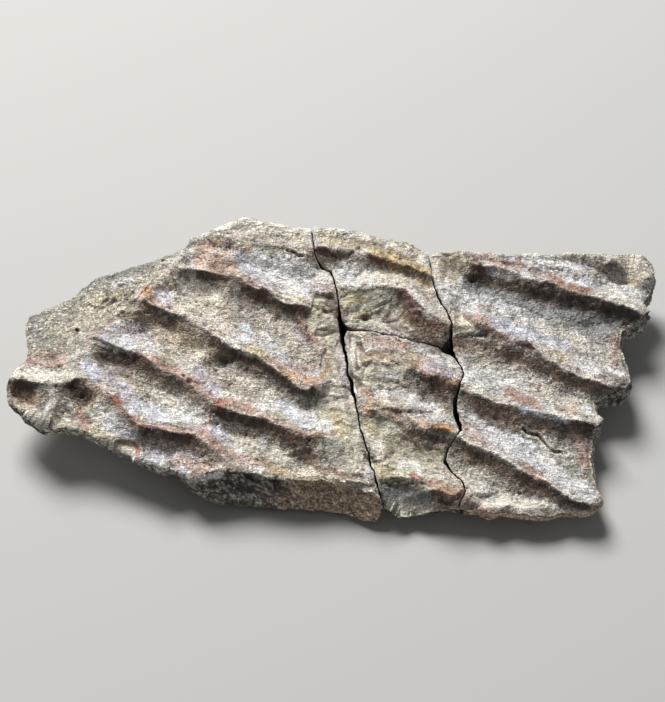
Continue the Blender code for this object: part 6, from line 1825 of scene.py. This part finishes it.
    relief = math_node("ADD", ramp(coarse, 0.0, 1.0, 0.0, 0.6), ramp(fine, 0.0, 1.0, 0.0, 0.28))
    relief = math_node("ADD", relief, ramp(fibre, 0.0, 1.0, 0.0, 0.3))
    relief = math_node("ADD", relief, math_node("MULTIPLY", hair, 0.16))
    relief = math_node("SUBTRACT", relief, math_node("MULTIPLY", line, 0.22))
    sponge = math_node("MULTIPLY", spongy, ramp(grains.outputs["Distance"], 0.0, 0.6, 0.5, 0.0))
    relief = math_node("ADD", relief, sponge)
    bump = node("ShaderNodeBump")
    bump.inputs["Strength"].default_value = BUMP_STRENGTH
    bump.inputs["Distance"].default_value = BUMP_HEIGHT * MM
    link(relief, bump.inputs["Height"])
    link(bump.outputs["Normal"], shader.inputs["Normal"])
    return made


def build_fragments():
    """The four fragments of the plate."""
    whole_edge = LEFT_EDGE + FRONT_EDGE + RIGHT_EDGE + BACK_EDGE + LEFT_EDGE[:1]
    rim = [point[:3] for point in whole_edge]
    main_crack = MAIN_CRACK_UPPER + MAIN_CRACK_LOWER
    right_crack = RIGHT_CRACK_UPPER + RIGHT_CRACK_LOWER
    upper = len(MAIN_CRACK_UPPER)
    right_upper = len(RIGHT_CRACK_UPPER)
    main_left = crack_side(main_crack, -1)
    main_right = crack_side(main_crack, 1)
    right_left = crack_side(right_crack, -1)
    right_right = crack_side(right_crack, 1)
    cross_back = crack_side(CROSS_CRACK, 1)
    cross_front = crack_side(CROSS_CRACK, -1)
    outlines = {
        "left_fragment": closed_outline(LEFT_EDGE, main_left[::-1]),
        "upper_middle_fragment": closed_outline(BACK_EDGE, main_right[:upper], cross_back,
                                                right_left[:right_upper][::-1]),
        "lower_middle_fragment": closed_outline(cross_front[::-1], main_right[upper:], FRONT_EDGE,
                                                right_left[right_upper:][::-1]),
        "right_fragment": closed_outline(right_right, RIGHT_EDGE),
    }
    material = bone_material()
    for name, outline in outlines.items():
        fragment(name, outline, rim, material)


def area_light(name, azimuth, elevation, distance, size, power, tint):
    """A soft square light that points at the plate."""
    lamp = bpy.data.lights.new(name, "AREA")
    lamp.shape = "SQUARE"
    lamp.size = size
    lamp.energy = power
    lamp.color = tint
    turn = math.radians(azimuth)
    tilt = math.radians(elevation)
    level = math.cos(tilt)
    direction = Vector((level * math.sin(turn), level * math.cos(turn), math.sin(tilt)))
    item = bpy.data.objects.new(name, lamp)
    item.location = direction * distance
    item.rotation_euler = direction.to_track_quat("Z", "Y").to_euler()
    bpy.context.scene.collection.objects.link(item)


def studio():
    """A pale floor, a soft key light from behind on the left, and weak light from all round."""
    corners = [(x * FLOOR_HALF, y * FLOOR_HALF, 0.0) for x, y in ((-1, -1), (1, -1), (1, 1), (-1, 1))]
    mesh = bpy.data.meshes.new("floor")
    mesh.from_pydata(corners, [], [(0, 1, 2, 3)])
    paper = bpy.data.materials.new("floor_paper")
    paper.use_nodes = True
    shader = paper.node_tree.nodes["Principled BSDF"]
    shader.inputs["Base Color"].default_value = (*FLOOR_COLOUR, 1.0)
    shader.inputs["Roughness"].default_value = 0.9
    shader.inputs["Specular IOR Level"].default_value = 0.2
    mesh.materials.append(paper)
    floor = bpy.data.objects.new("floor", mesh)
    bpy.context.scene.collection.objects.link(floor)
    area_light("key", KEY_AZIMUTH, KEY_ELEVATION, KEY_DISTANCE, KEY_SIZE, KEY_POWER, KEY_COLOUR)
    world = bpy.data.worlds.new("studio")
    world.use_nodes = True
    sky = world.node_tree.nodes["Background"]
    sky.inputs["Color"].default_value = (*SKY_COLOUR, 1.0)
    sky.inputs["Strength"].default_value = SKY_STRENGTH
    bpy.context.scene.world = world
    bpy.context.scene.view_settings.view_transform = "Standard"


def camera():
    """The camera, looking down at the plate from in front."""
    tilt = math.radians(CAMERA_ELEVATION)
    lens = bpy.data.cameras.new("camera")
    lens.sensor_fit = "VERTICAL"
    lens.sensor_height = CAMERA_SENSOR
    lens.lens = CAMERA_LENS
    lens.clip_start = 0.01
    item = bpy.data.objects.new("camera", lens)
    forward = Vector((0.0, math.cos(tilt), -math.sin(tilt)))
    item.location = (Vector(CAMERA_TARGET) - forward * CAMERA_DISTANCE) * MM
    item.rotation_euler = (math.pi / 2 - tilt, 0.0, 0.0)
    bpy.context.scene.collection.objects.link(item)
    bpy.context.scene.camera = item


grounded_cracks = [ground(line) for line in PARTIAL_CRACKS]
build_fragments()
studio()
camera()
